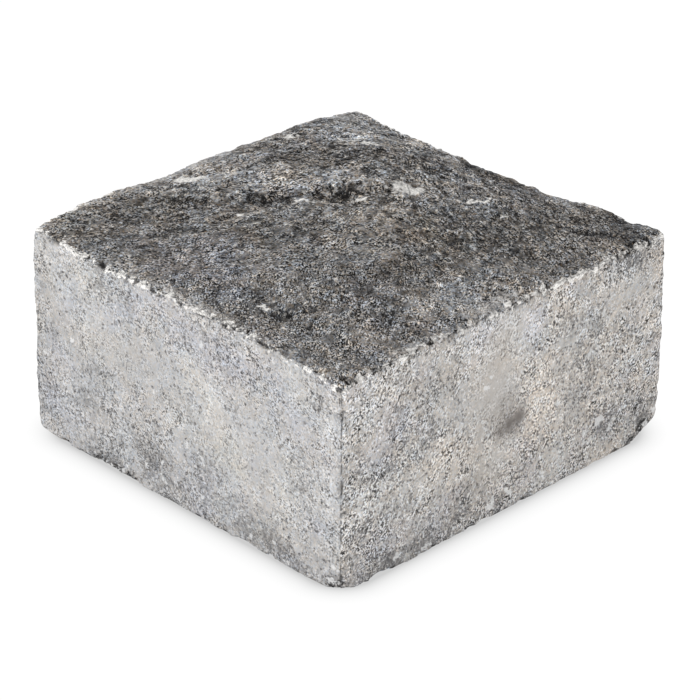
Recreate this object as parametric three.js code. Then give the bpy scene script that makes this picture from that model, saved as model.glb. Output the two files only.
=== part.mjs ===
// A granite cobblestone: one solid, with four hewn walls, a flat bed that it rests on and a riven top.
// Millimetres, +Z up, with the origin at the centre of the bed. The front corner is where walls -Y and +X meet.
import * as THREE from "three";
import { mergeVertices } from "three/addons/utils/BufferGeometryUtils.js";

// Driving dimensions
const WIDTH = 201; // along X
const DEPTH = 206; // along Y
const HEIGHT = 105; // of the walls, from the bed to the arris

// Height of the arris over or under HEIGHT at the four corners. The back one was split lower.
const ARRIS_AT = { left: 0.9, front: 0.6, right: 0.2, back: -3 };

// Wear: the radius that the edges are tumbled to, and the larger ones of knocked corners
const EDGE_WEAR = 1.7;
const EDGE_WEAR_VARIES = 0.8;
const CORNER_REACH = 11; // how far along the edges a knocked corner's wear reaches
const CORNER_WEAR = [
  { at: [-1, -1, 1], radius: 5 },
  { at: [-1, 1, 1], radius: 3.5 },
  { at: [1, 1, 1], radius: 4.5 },
  { at: [1, -1, 1], radius: 3 },
  { at: [-1, -1, 0], radius: 4 },
  { at: [-1, 1, 0], radius: 9 },
  { at: [1, 1, 0], radius: 6 },
  { at: [1, -1, 0], radius: 4 },
];

// The riven top: a low mound of split facets, each falling from PEAK towards a bearing (degrees from +X) by a slope
const PEAK = { x: 2, y: 31, height: 10.5 };
const FACETS = [
  { bearing: -42, slope: 0.072 }, // towards the front corner
  { bearing: -104, slope: 0.088 }, // towards the front left wall
  { bearing: -168, slope: 0.052 }, // along the spur to the left corner
  { bearing: 138, slope: 0.1 }, // towards the back left wall
  { bearing: 94, slope: 0.128 }, // towards the back right wall
  { bearing: 6, slope: 0.088 }, // towards the right corner
];
const FACET_BLEND = 0.7; // how far the edges between facets are softened
// The scarp: a step up to the back on a wandering line from the left corner to PEAK
const SCARP = { height: 3.6, from: -122, to: 4, across: 3, width: 3.5, tail: 40 };
const SWELLS = [
  { x: -97, y: -62, radius: 27, height: 2 }, // crown of the back left arris
  { x: -64, y: -74, radius: 27, height: -2 }, // dish by the left corner
  { x: -19, y: 8, radius: 9, height: -2.6 }, // hollow under the scarp
  { x: 41, y: -40, radius: 20, height: 1.5 }, // spur towards the front corner
  { x: 58, y: 2, radius: 21, height: -1.9 }, // hollow on the right
  { x: 42, y: -78, radius: 8, height: -1.3 }, // pit by the front left arris
  { x: 30, y: 62, radius: 13, height: 1.6 }, // knob on the ridge
  { x: -96, y: 96, radius: 15, height: 2.6 }, // back corner
  { x: 79, y: 100, radius: 9, height: -2.4 }, // saddle by the right corner
];
const BACK_FALL = { height: 6, from: 62, startsFading: 4, faded: 96 }; // along the back right arris
const RIVEN_ROUGHNESS = 1.6;
const RIVEN_WAVE = 30; // longest wave of the split surface's roughness

// The hewn walls: slow waves and shallow tooling
const WALL_RELIEF = 0.7;
const WALL_WAVE = 55;

// Flakes knocked off the edges: a point of the new face, the way it faces, and the radius that it is hollowed to
const FLAKES = [
  { at: [97, 96.5, 4.8], out: [0.52, 0.36, -0.77], hollow: 90 }, // right foot
  { at: [96.4, -99, 1.5], out: [0.34, -0.34, -0.87], hollow: 120 }, // front foot
  { at: [-60, -102.6, 1.1], out: [0, -0.6, -0.8], hollow: 16 },
  { at: [-40, -102.4, 0.9], out: [0.1, -0.5, -0.86], hollow: 22 },
  { at: [99.0, -78, 1.5], out: [0.62, 0, -0.78], hollow: 18 },
  { at: [99.2, 72, 104], out: [0.8, 0.1, 0.6], hollow: 20 },
  { at: [-99.0, 38, 2.0], out: [-0.62, 0, -0.78], hollow: 26 },
  { at: [-100.2, -20, 104], out: [-0.7, 0.1, 0.7], hollow: 14 },
  { at: [30, 101.2, 98], out: [0, 0.75, 0.66], hollow: 30 },
  { at: [-34, 101.4, 2.2], out: [0, 0.55, -0.83], hollow: 24 },
];

// Mesh: cells along each side of the top, and the rows of a wall, as shares of its height
const CELLS = 44;
const WALL_ROWS = [0, 0.012, 0.03, 0.1, 0.22, 0.36, 0.5, 0.64, 0.78, 0.9, 0.97, 0.988, 1];
const BED_INSETS = [1.5, 4, 12]; // loops on the underside, in from its edge
const BED_PANEL = 60; // half side of the square at the bed's middle

const { clamp, smoothstep, lerp, degToRad } = THREE.MathUtils;

/** A whole number from 0 to 2^32 - 1 that looks random, for each point of the whole-number grid. */
function gridHash(ix, iy, iz, seed) {
  let h =
    Math.imul(ix, 0x8da6b343) ^
    Math.imul(iy, 0xd8163841) ^
    Math.imul(iz, 0xcb1ab31f) ^
    Math.imul(seed, 0x9e3779b1);
  h = Math.imul(h ^ (h >>> 15), 0x85ebca6b);
  h = Math.imul(h ^ (h >>> 13), 0xc2b2ae35);
  return (h ^ (h >>> 16)) >>> 0;
}

/** The slope that gradient noise has at a grid point, dotted with the way from it to the point asked for. */
function gridSlope(hash, dx, dy, dz) {
  const axis = hash % 3;
  const first = hash & 16 ? 1 : -1;
  const second = hash & 32 ? 1 : -1;
  if (axis === 0) return first * dx + second * dy;
  if (axis === 1) return first * dy + second * dz;
  return first * dz + second * dx;
}

/** Gradient noise at (x, y, z), from about -1 to 1, with a wave of about one unit. */
function noise(x, y, z, seed) {
  const cell = [Math.floor(x), Math.floor(y), Math.floor(z)];
  const at = [x - cell[0], y - cell[1], z - cell[2]];
  const ease = at.map((t) => t * t * t * (t * (t * 6 - 15) + 10));
  let sum = 0;
  for (let corner = 0; corner < 8; corner++) {
    const [i, j, k] = [corner & 1, (corner >> 1) & 1, corner >> 2];
    const share =
      (i ? ease[0] : 1 - ease[0]) * (j ? ease[1] : 1 - ease[1]) * (k ? ease[2] : 1 - ease[2]);
    const hash = gridHash(cell[0] + i, cell[1] + j, cell[2] + k, seed);
    sum += share * gridSlope(hash, at[0] - i, at[1] - j, at[2] - k);
  }
  return sum;
}

/** Several octaves of noise, each half as long as the last and gain times as high. */
function roughness(x, y, z, wave, octaves, gain, seed) {
  let sum = 0;
  let height = 1;
  for (let octave = 0; octave < octaves; octave++) {
    sum += height * noise(x / wave, y / wave, z / wave, seed + octave);
    wave /= 2;
    height *= gain;
  }
  return sum;
}

/** A bell of height 1 whose value is 1/e at the radius. */
function bell(distance, radius) {
  return Math.exp(-((distance / radius) ** 2));
}

/** The largest of the values, with a rounded change from one to the next. */
function softMax(values, blend) {
  const largest = Math.max(...values);
  const sum = values.reduce((total, value) => total + Math.exp((value - largest) / blend), 0);
  return largest + blend * Math.log(sum);
}

/** How high the mound of facets stands over the arris plane at (x, y). */
function moundHeight(x, y) {
  const falls = FACETS.map(({ bearing, slope }) => {
    const angle = degToRad(bearing);
    return slope * ((x - PEAK.x) * Math.cos(angle) + (y - PEAK.y) * Math.sin(angle));
  });
  return softMax([0, PEAK.height - softMax(falls, FACET_BLEND)], FACET_BLEND);
}

/** How far the scarp lifts the top at (x, y). */
function scarpHeight(x, y) {
  const along = (x - PEAK.x + (y - PEAK.y)) * Math.SQRT1_2;
  const wander = 6 * noise(along / 27, 0.5, 0.5, 5) + 2.5 * noise(along / 8, 0.5, 0.5, 6);
  const behind = (y - PEAK.y - (x - PEAK.x)) * Math.SQRT1_2 - SCARP.across + wander;
  const ends = smoothstep(along, SCARP.from, SCARP.from + 50) * (1 - smoothstep(along, SCARP.to - 18, SCARP.to));
  const step = smoothstep(behind, -SCARP.width / 2, SCARP.width / 2);
  return SCARP.height * ends * step * Math.exp(-Math.max(behind, 0) / SCARP.tail);
}

/** How high the riven top is over the bed at (x, y). */
function rivenHeight(x, y) {
  const s = x / WIDTH + 0.5;
  const t = y / DEPTH + 0.5;
  const left = lerp(ARRIS_AT.left, ARRIS_AT.back, t);
  const right = lerp(ARRIS_AT.front, ARRIS_AT.right, t);
  const fade = 1 - smoothstep(x, BACK_FALL.startsFading, BACK_FALL.faded);
  const fall = BACK_FALL.height * fade * smoothstep(y, BACK_FALL.from, DEPTH / 2);
  const swells = SWELLS.reduce(
    (sum, swell) => sum + swell.height * bell(Math.hypot(x - swell.x, y - swell.y), swell.radius),
    0,
  );
  const inside = (1 - (2 * s - 1) ** 6) * (1 - (2 * t - 1) ** 6);
  const lift = inside * (moundHeight(x, y) + scarpHeight(x, y));
  const rough = RIVEN_ROUGHNESS * roughness(x, y, 0, RIVEN_WAVE, 3, 0.55, 11);
  return HEIGHT + lerp(left, right, s) - fall + swells + lift + rough * lerp(0.45, 1, inside);
}

/** The radius that the edges are worn to near a point of the sharp block. */
function wearAt(q) {
  let radius = EDGE_WEAR + EDGE_WEAR_VARIES * noise(q.x / 17, q.y / 17, q.z / 17, 21);
  for (const { at, radius: knocked } of CORNER_WEAR) {
    const away = Math.hypot(q.x - (at[0] * WIDTH) / 2, q.y - (at[1] * DEPTH) / 2, q.z - at[2] * HEIGHT);
    radius += (knocked - EDGE_WEAR) * bell(away, CORNER_REACH);
  }
  return Math.max(radius, 1);
}

/** Takes off what lies outside a flake's hollowed face. */
function knockOff(p, { at, out, hollow }) {
  const normal = new THREE.Vector3(...out).normalize();
  const from = p.clone().sub(new THREE.Vector3(...at));
  const height = from.dot(normal);
  const sideways = from.lengthSq() - height * height;
  const over = height - sideways / (2 * hollow);
  if (over > 0) p.addScaledVector(normal, -over);
}

/** Where a point of the sharp block's surface lies on the real stone. */
function onStone(q) {
  const radius = wearAt(q);
  const core = new THREE.Vector3(
    clamp(q.x, -WIDTH / 2 + radius, WIDTH / 2 - radius),
    clamp(q.y, -DEPTH / 2 + radius, DEPTH / 2 - radius),
    clamp(q.z, radius, HEIGHT - radius),
  );
  const out = q.clone().sub(core).normalize();
  const p = core.addScaledVector(out, radius);
  p.z += (rivenHeight(p.x, p.y) - HEIGHT) * (p.z / HEIGHT);
  const relief = WALL_RELIEF * roughness(p.x, p.y, p.z, WALL_WAVE, 3, 0.5, 31);
  p.x += out.x * relief;
  p.y += out.y * relief;
  for (const flake of FLAKES) knockOff(p, flake);
  p.z = Math.max(p.z, 0);
  return p;
}

/** Grid lines from -1 to 1, closer together towards both ends, where the arris turns. */
function gridLine(index) {
  const t = (2 * index) / CELLS - 1;
  return lerp(t, Math.sin((t * Math.PI) / 2), 0.35);
}

/** Point number k of the loop round the block, anticlockwise from the left corner, in from its edge by inset. */
function loopPoint(k, z, inset) {
  const side = Math.floor(k / CELLS) % 4;
  const t = gridLine(k % CELLS);
  const halfX = WIDTH / 2 - inset;
  const halfY = DEPTH / 2 - inset;
  const [u, v] = [[t, -1], [1, t], [-t, 1], [-1, -t]][side];
  return new THREE.Vector3(u * halfX, v * halfY, z);
}

/** Collects triangles corner by corner. */
class Skin {
  corners = [];

  triangle(a, b, c) {
    for (const p of [a, b, c]) this.corners.push(p.x, p.y, p.z);
  }

  quad(a, b, c, d) {
    this.triangle(a, b, c);
    this.triangle(a, c, d);
  }

  geometry() {
    const loose = new THREE.BufferGeometry();
    loose.setAttribute("position", new THREE.Float32BufferAttribute(this.corners, 3));
    const closed = mergeVertices(loose, 1e-4);
    closed.computeVertexNormals();
    return closed;
  }
}

/** The riven top, as a square grid of cells. */
function addTop(skin) {
  const grid = [];
  for (let j = 0; j <= CELLS; j++) {
    grid.push([]);
    for (let i = 0; i <= CELLS; i++) {
      const q = new THREE.Vector3((gridLine(i) * WIDTH) / 2, (gridLine(j) * DEPTH) / 2, HEIGHT);
      grid[j].push(onStone(q));
    }
  }
  for (let j = 0; j < CELLS; j++)
    for (let i = 0; i < CELLS; i++)
      skin.quad(grid[j][i], grid[j][i + 1], grid[j + 1][i + 1], grid[j + 1][i]);
}

/** Two loops of points round the stone, joined by a band of cells, the first one below or inside the second. */
function addBand(skin, first, second) {
  const count = first.length;
  for (let k = 0; k < count; k++) {
    const next = (k + 1) % count;
    skin.quad(first[k], first[next], second[next], second[k]);
  }
}

/** The four walls, as bands from the foot to the arris. */
function addWalls(skin) {
  const loops = WALL_ROWS.map((share) =>
    Array.from({ length: 4 * CELLS }, (_, k) => onStone(loopPoint(k, share * HEIGHT, 0))),
  );
  for (let row = 1; row < loops.length; row++) addBand(skin, loops[row - 1], loops[row]);
}

/** The bed: the turned-in foot, then a flat panel that meets it along fans of triangles. */
function addBed(skin) {
  const loops = [0, ...BED_INSETS].map((inset) =>
    Array.from({ length: 4 * CELLS }, (_, k) => onStone(loopPoint(k, 0, inset))),
  );
  for (let row = 1; row < loops.length; row++) addBand(skin, loops[row], loops[row - 1]);
  const rim = loops.at(-1);
  const panel = [[-1, -1], [1, -1], [1, 1], [-1, 1]].map(
    ([u, v]) => new THREE.Vector3(u * BED_PANEL, v * BED_PANEL, 0),
  );
  for (let side = 0; side < 4; side++) {
    const [near, far] = [panel[side], panel[(side + 1) % 4]];
    for (let k = 0; k < CELLS; k++) {
      const [a, b] = [rim[side * CELLS + k], rim[(side * CELLS + k + 1) % rim.length]];
      skin.triangle(a, k < CELLS / 2 ? near : far, b);
    }
    skin.triangle(rim[side * CELLS + CELLS / 2], near, far);
  }
  skin.quad(panel[0], panel[3], panel[2], panel[1]);
}

/** The whole stone, as one closed mesh. */
function makeCobblestone() {
  const skin = new Skin();
  addTop(skin);
  addWalls(skin);
  addBed(skin);
  const granite = new THREE.MeshStandardMaterial({ color: 0x9a9894, roughness: 0.92, metalness: 0 });
  const mesh = new THREE.Mesh(skin.geometry(), granite);
  mesh.name = "cobblestone";
  return mesh;
}

const part = new THREE.Group();
part.add(makeCobblestone());

export default part;
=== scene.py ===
"""A granite cobblestone on a plain pale floor.

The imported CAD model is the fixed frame. The stone that is shown is one closed surface, worked out with numpy by the
same rules as its solid and carried further: split crystal faces, nibbled arrises, pits and flaked feet.
Lengths are in millimetres until a mesh is made, which turns them into metres. Bearings are in degrees from +X.
The right wall faces +X, the left wall -Y, and the front corner is where they meet.
"""

import logging
from dataclasses import dataclass, field
from enum import Enum
from typing import NamedTuple

import bpy
import numpy as np
from mathutils import Matrix, Vector

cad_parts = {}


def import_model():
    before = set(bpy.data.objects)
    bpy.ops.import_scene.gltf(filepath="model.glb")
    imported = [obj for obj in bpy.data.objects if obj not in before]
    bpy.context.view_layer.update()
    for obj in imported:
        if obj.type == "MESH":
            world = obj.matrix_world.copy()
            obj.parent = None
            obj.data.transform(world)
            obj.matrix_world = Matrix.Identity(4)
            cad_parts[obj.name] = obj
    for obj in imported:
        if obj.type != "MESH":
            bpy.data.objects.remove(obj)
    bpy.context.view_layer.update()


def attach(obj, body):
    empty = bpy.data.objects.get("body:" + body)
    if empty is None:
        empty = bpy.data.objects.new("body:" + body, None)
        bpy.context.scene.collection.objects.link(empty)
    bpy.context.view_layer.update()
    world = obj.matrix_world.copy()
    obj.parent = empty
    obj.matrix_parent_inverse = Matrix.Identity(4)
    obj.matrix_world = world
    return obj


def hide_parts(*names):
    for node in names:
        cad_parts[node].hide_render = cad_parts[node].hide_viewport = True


MM = 0.001
LOG = logging.getLogger("cobblestone")
HALF_ROOT = np.sqrt(0.5)  # the sine and the cosine of 45 degrees

Array = np.ndarray
Colour = tuple[float, float, float]
Point = tuple[float, float, float]
Waves = tuple[tuple[float, float], ...]  # the height and the length of each


# ---------------------------------------------------------------------------------------------------------------
# Noise
# ---------------------------------------------------------------------------------------------------------------


def grid_hash(ix: Array, iy: Array, iz: Array, seed: int) -> Array:
    """A whole number below 2^32 that looks random, for each point of the whole-number grid.

    The three coordinates and the seed are multiplied by odd constants and joined, then mixed twice by
    h = (h xor h / 2^k) times a constant.

    Args:
        ix, iy, iz: whole coordinates.
        seed: which of the random fields.

    Returns:
        uint32 values in the shape of the coordinates.
    """
    x, y, z = (part.astype(np.int64).astype(np.uint32) for part in (ix, iy, iz))
    start = np.uint32((seed * 0x9E3779B1) & 0xFFFFFFFF)
    h = (x * np.uint32(0x8DA6B343)) ^ (y * np.uint32(0xD8163841)) ^ (z * np.uint32(0xCB1AB31F)) ^ start
    h = (h ^ (h >> np.uint32(15))) * np.uint32(0x85EBCA6B)
    h = (h ^ (h >> np.uint32(13))) * np.uint32(0xC2B2AE35)
    return h ^ (h >> np.uint32(16))


def byte(numbers: Array, place: int) -> Array:
    """One byte of each whole number, by its place from the right."""
    return (numbers >> np.uint32(8 * place)) & np.uint32(255)


def noise(points: Array, wave: float, seed: int) -> Array:
    """Gradient noise from about -1 to 1, with one wave in about the given length.

    At each corner of the cell that holds a point, a slope along two axes is dotted with the way from the corner to
    the point, and the eight results are blended by t^3 (6 t^2 - 15 t + 10) in each direction.

    Args:
        points: places, as rows of three.
        wave: length of a cell.
        seed: which of the random fields.

    Returns:
        One value for each point.
    """
    scaled = points / wave
    cell = np.floor(scaled)
    at = scaled - cell
    ease = at * at * at * (at * (at * 6 - 15) + 10)
    rows = np.arange(len(points))
    total = np.zeros(len(points))
    for corner in range(8):
        step = np.array([corner & 1, (corner >> 1) & 1, corner >> 2])
        share = np.prod(np.where(step, ease, 1 - ease), axis=1)
        h = grid_hash(*(cell + step).T, seed)
        away = at - step
        axis = (h % np.uint32(3)).astype(int)
        first = np.where(h & np.uint32(16), 1.0, -1.0) * away[rows, axis]
        second = np.where(h & np.uint32(32), 1.0, -1.0) * away[rows, (axis + 1) % 3]
        total += share * (first + second)
    return total


def octaves(longest: float, count: int, gain: float, height: float = 1.0) -> Waves:
    """Waves that are each half as long as the last and gain times as high."""
    return tuple((height * gain**n, longest / 2**n) for n in range(count))


@dataclass(frozen=True)
class Rough:
    """Waves of noise added up. The first reads the random field of the seed, the next one the next, and so on."""

    seed: int
    waves: Waves

    def at(self, points: Array) -> Array:
        """The sum of the waves at each point."""
        return sum(height * noise(points, length, self.seed + n) for n, (height, length) in enumerate(self.waves))


def crystal_faces(points: Array, size: float, tilt: float, seed: int) -> Array:
    """The relief of broken crystals: each has a flat face of its own height and tilt.

    Space is parted into cells round one random centre in each grid cube. The height of a point is its nearest
    centre's random level plus the random slope of that centre's face times the way from the centre.

    Args:
        points: places, as rows of three.
        size: side of a grid cube, which is about the width of a crystal.
        tilt: rise of the steepest face over one crystal's width.
        seed: which of the random fields; the levels and slopes have their own.

    Returns:
        Heights from about -1 to 1.
    """
    scaled = points / size
    cell = np.floor(scaled)
    nearest = np.full(len(points), np.inf)
    height = np.zeros(len(points))
    for neighbour in range(27):
        corner = cell + (np.array([neighbour % 3, neighbour // 3 % 3, neighbour // 9]) - 1)
        places = grid_hash(*corner.T, seed)
        away = scaled - (corner + (np.stack([byte(places, k) for k in range(3)], axis=1) + 0.5) / 256)
        distance = np.einsum("ij,ij->i", away, away)
        faces = grid_hash(*corner.T, seed + 101)
        level, *slopes = (byte(faces, k) / 127.5 - 1 for k in range(4))
        face = 0.5 * level + tilt * sum(slope * way for slope, way in zip(slopes, away.T))
        closer = distance < nearest
        nearest = np.where(closer, distance, nearest)
        height = np.where(closer, face, height)
    return height


def bell(distance: Array, radius: float) -> Array:
    """A bell of height 1: e to the power of minus (distance / radius) squared."""
    return np.exp(-((distance / radius) ** 2))


class Ramp(NamedTuple):
    """An eased way from one value to another: start where the input is low, and end where it is high."""

    low: float
    high: float
    start: float = 0.0
    end: float = 1.0

    def of(self, value: Array) -> Array:
        """start + (end - start)(3 t^2 - 2 t^3), with t the input's place from low to high, held to 0 and 1."""
        t = np.clip((value - self.low) / (self.high - self.low), 0, 1)
        return self.start + (self.end - self.start) * (t * t * (3 - 2 * t))


class Line(NamedTuple):
    """A straight rule: so much for each 1 of the input, and so much where that is 0."""

    slope: float
    at_zero: float

    def of(self, value: "Array | Value") -> "Array | Value":
        """What it makes of an array's numbers, or of a shader's."""
        return value * self.slope + self.at_zero


def turned(p: Array, bearing: float) -> Array:
    """Points as seen along a bearing.

    Args:
        p: points, as rows of three.
        bearing: which way is along.

    Returns:
        How far each is along the bearing, across it to the left, and up, as rows of three.
    """
    turn = np.radians(bearing)
    along = p[:, 0] * np.cos(turn) + p[:, 1] * np.sin(turn)
    across = p[:, 1] * np.cos(turn) - p[:, 0] * np.sin(turn)
    return np.stack([along, across, p[:, 2]], axis=1)


def soft_max(values: list[Array], blend: float) -> Array:
    """The largest of several fields, rounded where one takes over.

    Args:
        values: the fields, of the same shape or of one value.
        blend: how far the rounding reaches. It times the log of the summed exponents is added to the largest.

    Returns:
        One field.
    """
    stack = np.stack(np.broadcast_arrays(*values))
    largest = stack.max(axis=0)
    return largest + blend * np.log(np.exp((stack - largest) / blend).sum(axis=0))


# ---------------------------------------------------------------------------------------------------------------
# The stone's shape
# ---------------------------------------------------------------------------------------------------------------


@dataclass(frozen=True)
class Facet:
    """One split face of the mound on the top, falling away from the peak."""

    bearing: float
    slope: float


@dataclass(frozen=True)
class Swell:
    """A round rise or hollow of the top."""

    x: float
    y: float
    radius: float
    height: float

    def at(self, x: Array, y: Array) -> Array:
        """Millimetres upwards."""
        return self.height * bell(np.hypot(x - self.x, y - self.y), self.radius)


@dataclass(frozen=True)
class Scarp:
    """A step up to the back, on a wandering line from the left corner to the peak."""

    height: float = 3.6
    rises: Ramp = Ramp(-122, -72)  # along the line, from the peak
    ends: Ramp = Ramp(-14, 4)
    across: float = 3
    width: float = 2.6
    tail: float = 40
    wander: Waves = ((6, 27), (2.5, 8))
    seed: int = 5

    def lift(self, x: Array, y: Array) -> Array:
        """How far it lifts the top: a step across the line, dying away behind it.

        Args:
            x, y: places, from the peak.

        Returns:
            Millimetres upwards.
        """
        along = (x + y) * HALF_ROOT
        behind = (y - x) * HALF_ROOT - self.across
        for n, (height, length) in enumerate(self.wander):
            line = np.stack([along, *np.full((2, len(along)), length / 2)], axis=1)
            behind += height * noise(line, length, self.seed + n)
        step = Ramp(-self.width / 2, self.width / 2).of(behind) * np.exp(-np.maximum(behind, 0) / self.tail)
        return self.height * self.rises.of(along) * (1 - self.ends.of(along)) * step


@dataclass(frozen=True)
class BackFall:
    """How the arris falls along the back right side: how far, and where it fades out along X and in along Y."""

    height: float = 6.0
    fades: Ramp = Ramp(4, 96, 1, 0)
    starts: Ramp = Ramp(62, 103.5)

    def at(self, x: Array, y: Array) -> Array:
        """Millimetres downwards."""
        return self.height * self.fades.of(x) * self.starts.of(y)


@dataclass(frozen=True)
class Knock:
    """A corner that is worn to a larger radius. at is in half sides, with 0 or 1 for the foot or the arris."""

    at: Point
    radius: float


@dataclass(frozen=True)
class Flake:
    """A chip knocked off an edge: a point of its face, the way it faces and the radius it is hollowed to."""

    at: Point
    out: Point
    hollow: float
    dark: float = 1.0

    def knock_off(self, p: Array) -> Array:
        """Moves the points that lie outside the hollowed face onto it.

        Args:
            p: points, as rows of three, moved in place.

        Returns:
            How far each point moved: its height over the face, less sideways^2 / (2 hollow), where that is over 0.
        """
        normal = np.array(self.out) / np.linalg.norm(self.out)
        away = p - np.array(self.at)
        height = away @ normal
        sideways = np.einsum("ij,ij->i", away, away) - height**2
        over = np.maximum(height - sideways / (2 * self.hollow), 0)
        p -= over[:, None] * normal
        return over


@dataclass(frozen=True)
class Chips:
    """Small flakes scattered along the edges: how many to an edge, how deep, and the radius they are hollowed to."""

    foot: int = 13
    arris: int = 15
    back_arris: int = 5
    upright: int = 7
    reach: float = 0.96  # of half an edge
    heights: tuple[float, float] = (0.05, 0.95)  # of an upright edge
    depth: tuple[float, float] = (0.3, 1.3)
    hollow: tuple[float, float] = (4, 17)
    lean: tuple[float, float] = (20, 70)  # degrees between the chip's direction and the wall's
    dark: float = 0.7
    seed: int = 5


@dataclass(frozen=True)
class Lattice:
    """The sharp block that the stone is shaped from: points, faces and how each point lies to the arris.

    from_arris is the way over the surface from the arris, positive on the top and negative down the walls.
    from_upright is how far a point is from the nearest upright edge, and from_foot how far it is up from the foot.
    """

    points: Array
    quads: Array
    triangles: Array
    from_arris: Array
    from_upright: Array
    from_foot: Array
    bed: Array


@dataclass
class StoneShape:
    """The stone's form, and the rules that turn a sharp block's surface into it."""

    width: float = 202
    depth: float = 207
    height: float = 105
    arris_left: float = 0.9
    arris_front: float = 0.6
    arris_right: float = 0.2
    arris_back: float = -3.0
    edge_wear: float = 1.7
    least_wear: float = 1.0
    wear_varies: Rough = Rough(21, ((0.8, 17),))
    corner_reach: float = 11
    knocks: tuple[Knock, ...] = (
        Knock((-1, -1, 1), 5),
        Knock((-1, 1, 1), 3.5),
        Knock((1, 1, 1), 4.5),
        Knock((1, -1, 1), 3),
        Knock((-1, -1, 0), 4),
        Knock((-1, 1, 0), 9),
        Knock((1, 1, 0), 6),
        Knock((1, -1, 0), 4),
    )
    peak: Point = (2, 31, 10.5)
    facets: tuple[Facet, ...] = (
        Facet(-42, 0.072),
        Facet(-104, 0.088),
        Facet(-168, 0.052),
        Facet(138, 0.1),
        Facet(94, 0.128),
        Facet(6, 0.088),
    )
    facet_blend: float = 0.7
    scarp: Scarp = Scarp()
    swells: tuple[Swell, ...] = (
        Swell(-97, -62, 27, 2),
        Swell(-64, -74, 27, -2),
        Swell(-19, 8, 9, -2.6),
        Swell(41, -40, 20, 1.5),
        Swell(58, 2, 21, -1.9),
        Swell(42, -78, 8, -1.3),
        Swell(30, 62, 13, 1.6),
        Swell(-96, 96, 15, 2.6),
        Swell(79, 100, 9, -2.4),
    )
    back_fall: BackFall = BackFall()
    arris_power: int = 6  # how late the mound falls off towards the arris
    riven_height: float = 1.6
    riven_at_arris: float = 0.45  # of its height
    riven: Rough = Rough(11, octaves(30, 3, 0.55))
    wall_relief: float = 0.7
    wall: Rough = Rough(31, octaves(55, 3, 0.5))
    flakes: tuple[Flake, ...] = (
        Flake((97, 96.5, 4.8), (0.52, 0.36, -0.77), 90),
        Flake((96.4, -99, 1.5), (0.34, -0.34, -0.87), 120),
        Flake((-60, -102.6, 1.1), (0, -0.6, -0.8), 16),
        Flake((-40, -102.4, 0.9), (0.1, -0.5, -0.86), 22),
        Flake((99.0, -78, 1.5), (0.62, 0, -0.78), 18),
        Flake((99.2, 72, 104), (0.8, 0.1, 0.6), 20),
        Flake((-99.0, 38, 2.0), (-0.62, 0, -0.78), 26),
        Flake((-100.2, -20, 104), (-0.7, 0.1, 0.7), 14),
        Flake((30, 101.2, 98), (0, 0.75, 0.66), 30),
        Flake((-34, 101.4, 2.2), (0, 0.55, -0.83), 24),
    )
    chips: Chips = Chips()
    cells: int = 186
    wall_rows: int = 74
    crowding: float = 0.35  # how far the cells crowd towards the edges
    bed_step: int = 3  # fine cells to each coarse one under the stone
    bed_insets: tuple[float, ...] = (1.4, 3.4, 5.0)

    @property
    def half(self) -> Array:
        """Half the width and half the depth."""
        return np.array([self.width / 2, self.depth / 2])

    def mound(self, x: Array, y: Array) -> Array:
        """The mound's height: the peak's, less the steepest of the facets' falls, and never below 0.

        Args:
            x, y: places, from the peak.

        Returns:
            Millimetres upwards.
        """
        angles = [np.radians(facet.bearing) for facet in self.facets]
        falls = [f.slope * (x * np.cos(a) + y * np.sin(a)) for f, a in zip(self.facets, angles)]
        return soft_max([np.zeros(1), self.peak[2] - soft_max(falls, self.facet_blend)], self.facet_blend)

    def top_height(self, plan: Array) -> Array:
        """How high the riven top is over the bed.

        The plane through the four arris corners, less the fall at the back, plus the swells, and the mound and the
        scarp faded out at the arris by (1 - u^6)(1 - v^6), with u and v 1 at the walls, plus the roughness.

        Args:
            plan: places, of which the x and y are read.

        Returns:
            Millimetres over the bed.
        """
        x, y = plan[:, 0], plan[:, 1]
        s, t = x / self.width + 0.5, y / self.depth + 0.5
        left = self.arris_left + (self.arris_back - self.arris_left) * t
        right = self.arris_front + (self.arris_right - self.arris_front) * t
        swells = sum(swell.at(x, y) for swell in self.swells)
        inside = np.prod(np.clip(1 - (plan[:, :2] / self.half) ** self.arris_power, 0, 1), axis=1)
        across, back = x - self.peak[0], y - self.peak[1]
        lift = inside * (self.mound(across, back) + self.scarp.lift(across, back))
        rough = self.riven_height * self.riven.at(np.stack([x, y, np.zeros(len(x))], axis=1))
        rough *= self.riven_at_arris + (1 - self.riven_at_arris) * inside
        return self.height + left + (right - left) * s - self.back_fall.at(x, y) + swells + lift + rough

    def wear_at(self, q: Array) -> Array:
        """The radius that the edges are worn to: the edges' own, and a bell of more round each knocked corner.

        Args:
            q: points on the sharp block, as rows of three.

        Returns:
            Millimetres.
        """
        radius = self.edge_wear + self.wear_varies.at(q)
        for knock in self.knocks:
            corner = np.array(knock.at) * [*self.half, self.height]
            radius += (knock.radius - self.edge_wear) * bell(np.linalg.norm(q - corner, axis=1), self.corner_reach)
        return np.maximum(radius, self.least_wear)

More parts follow.
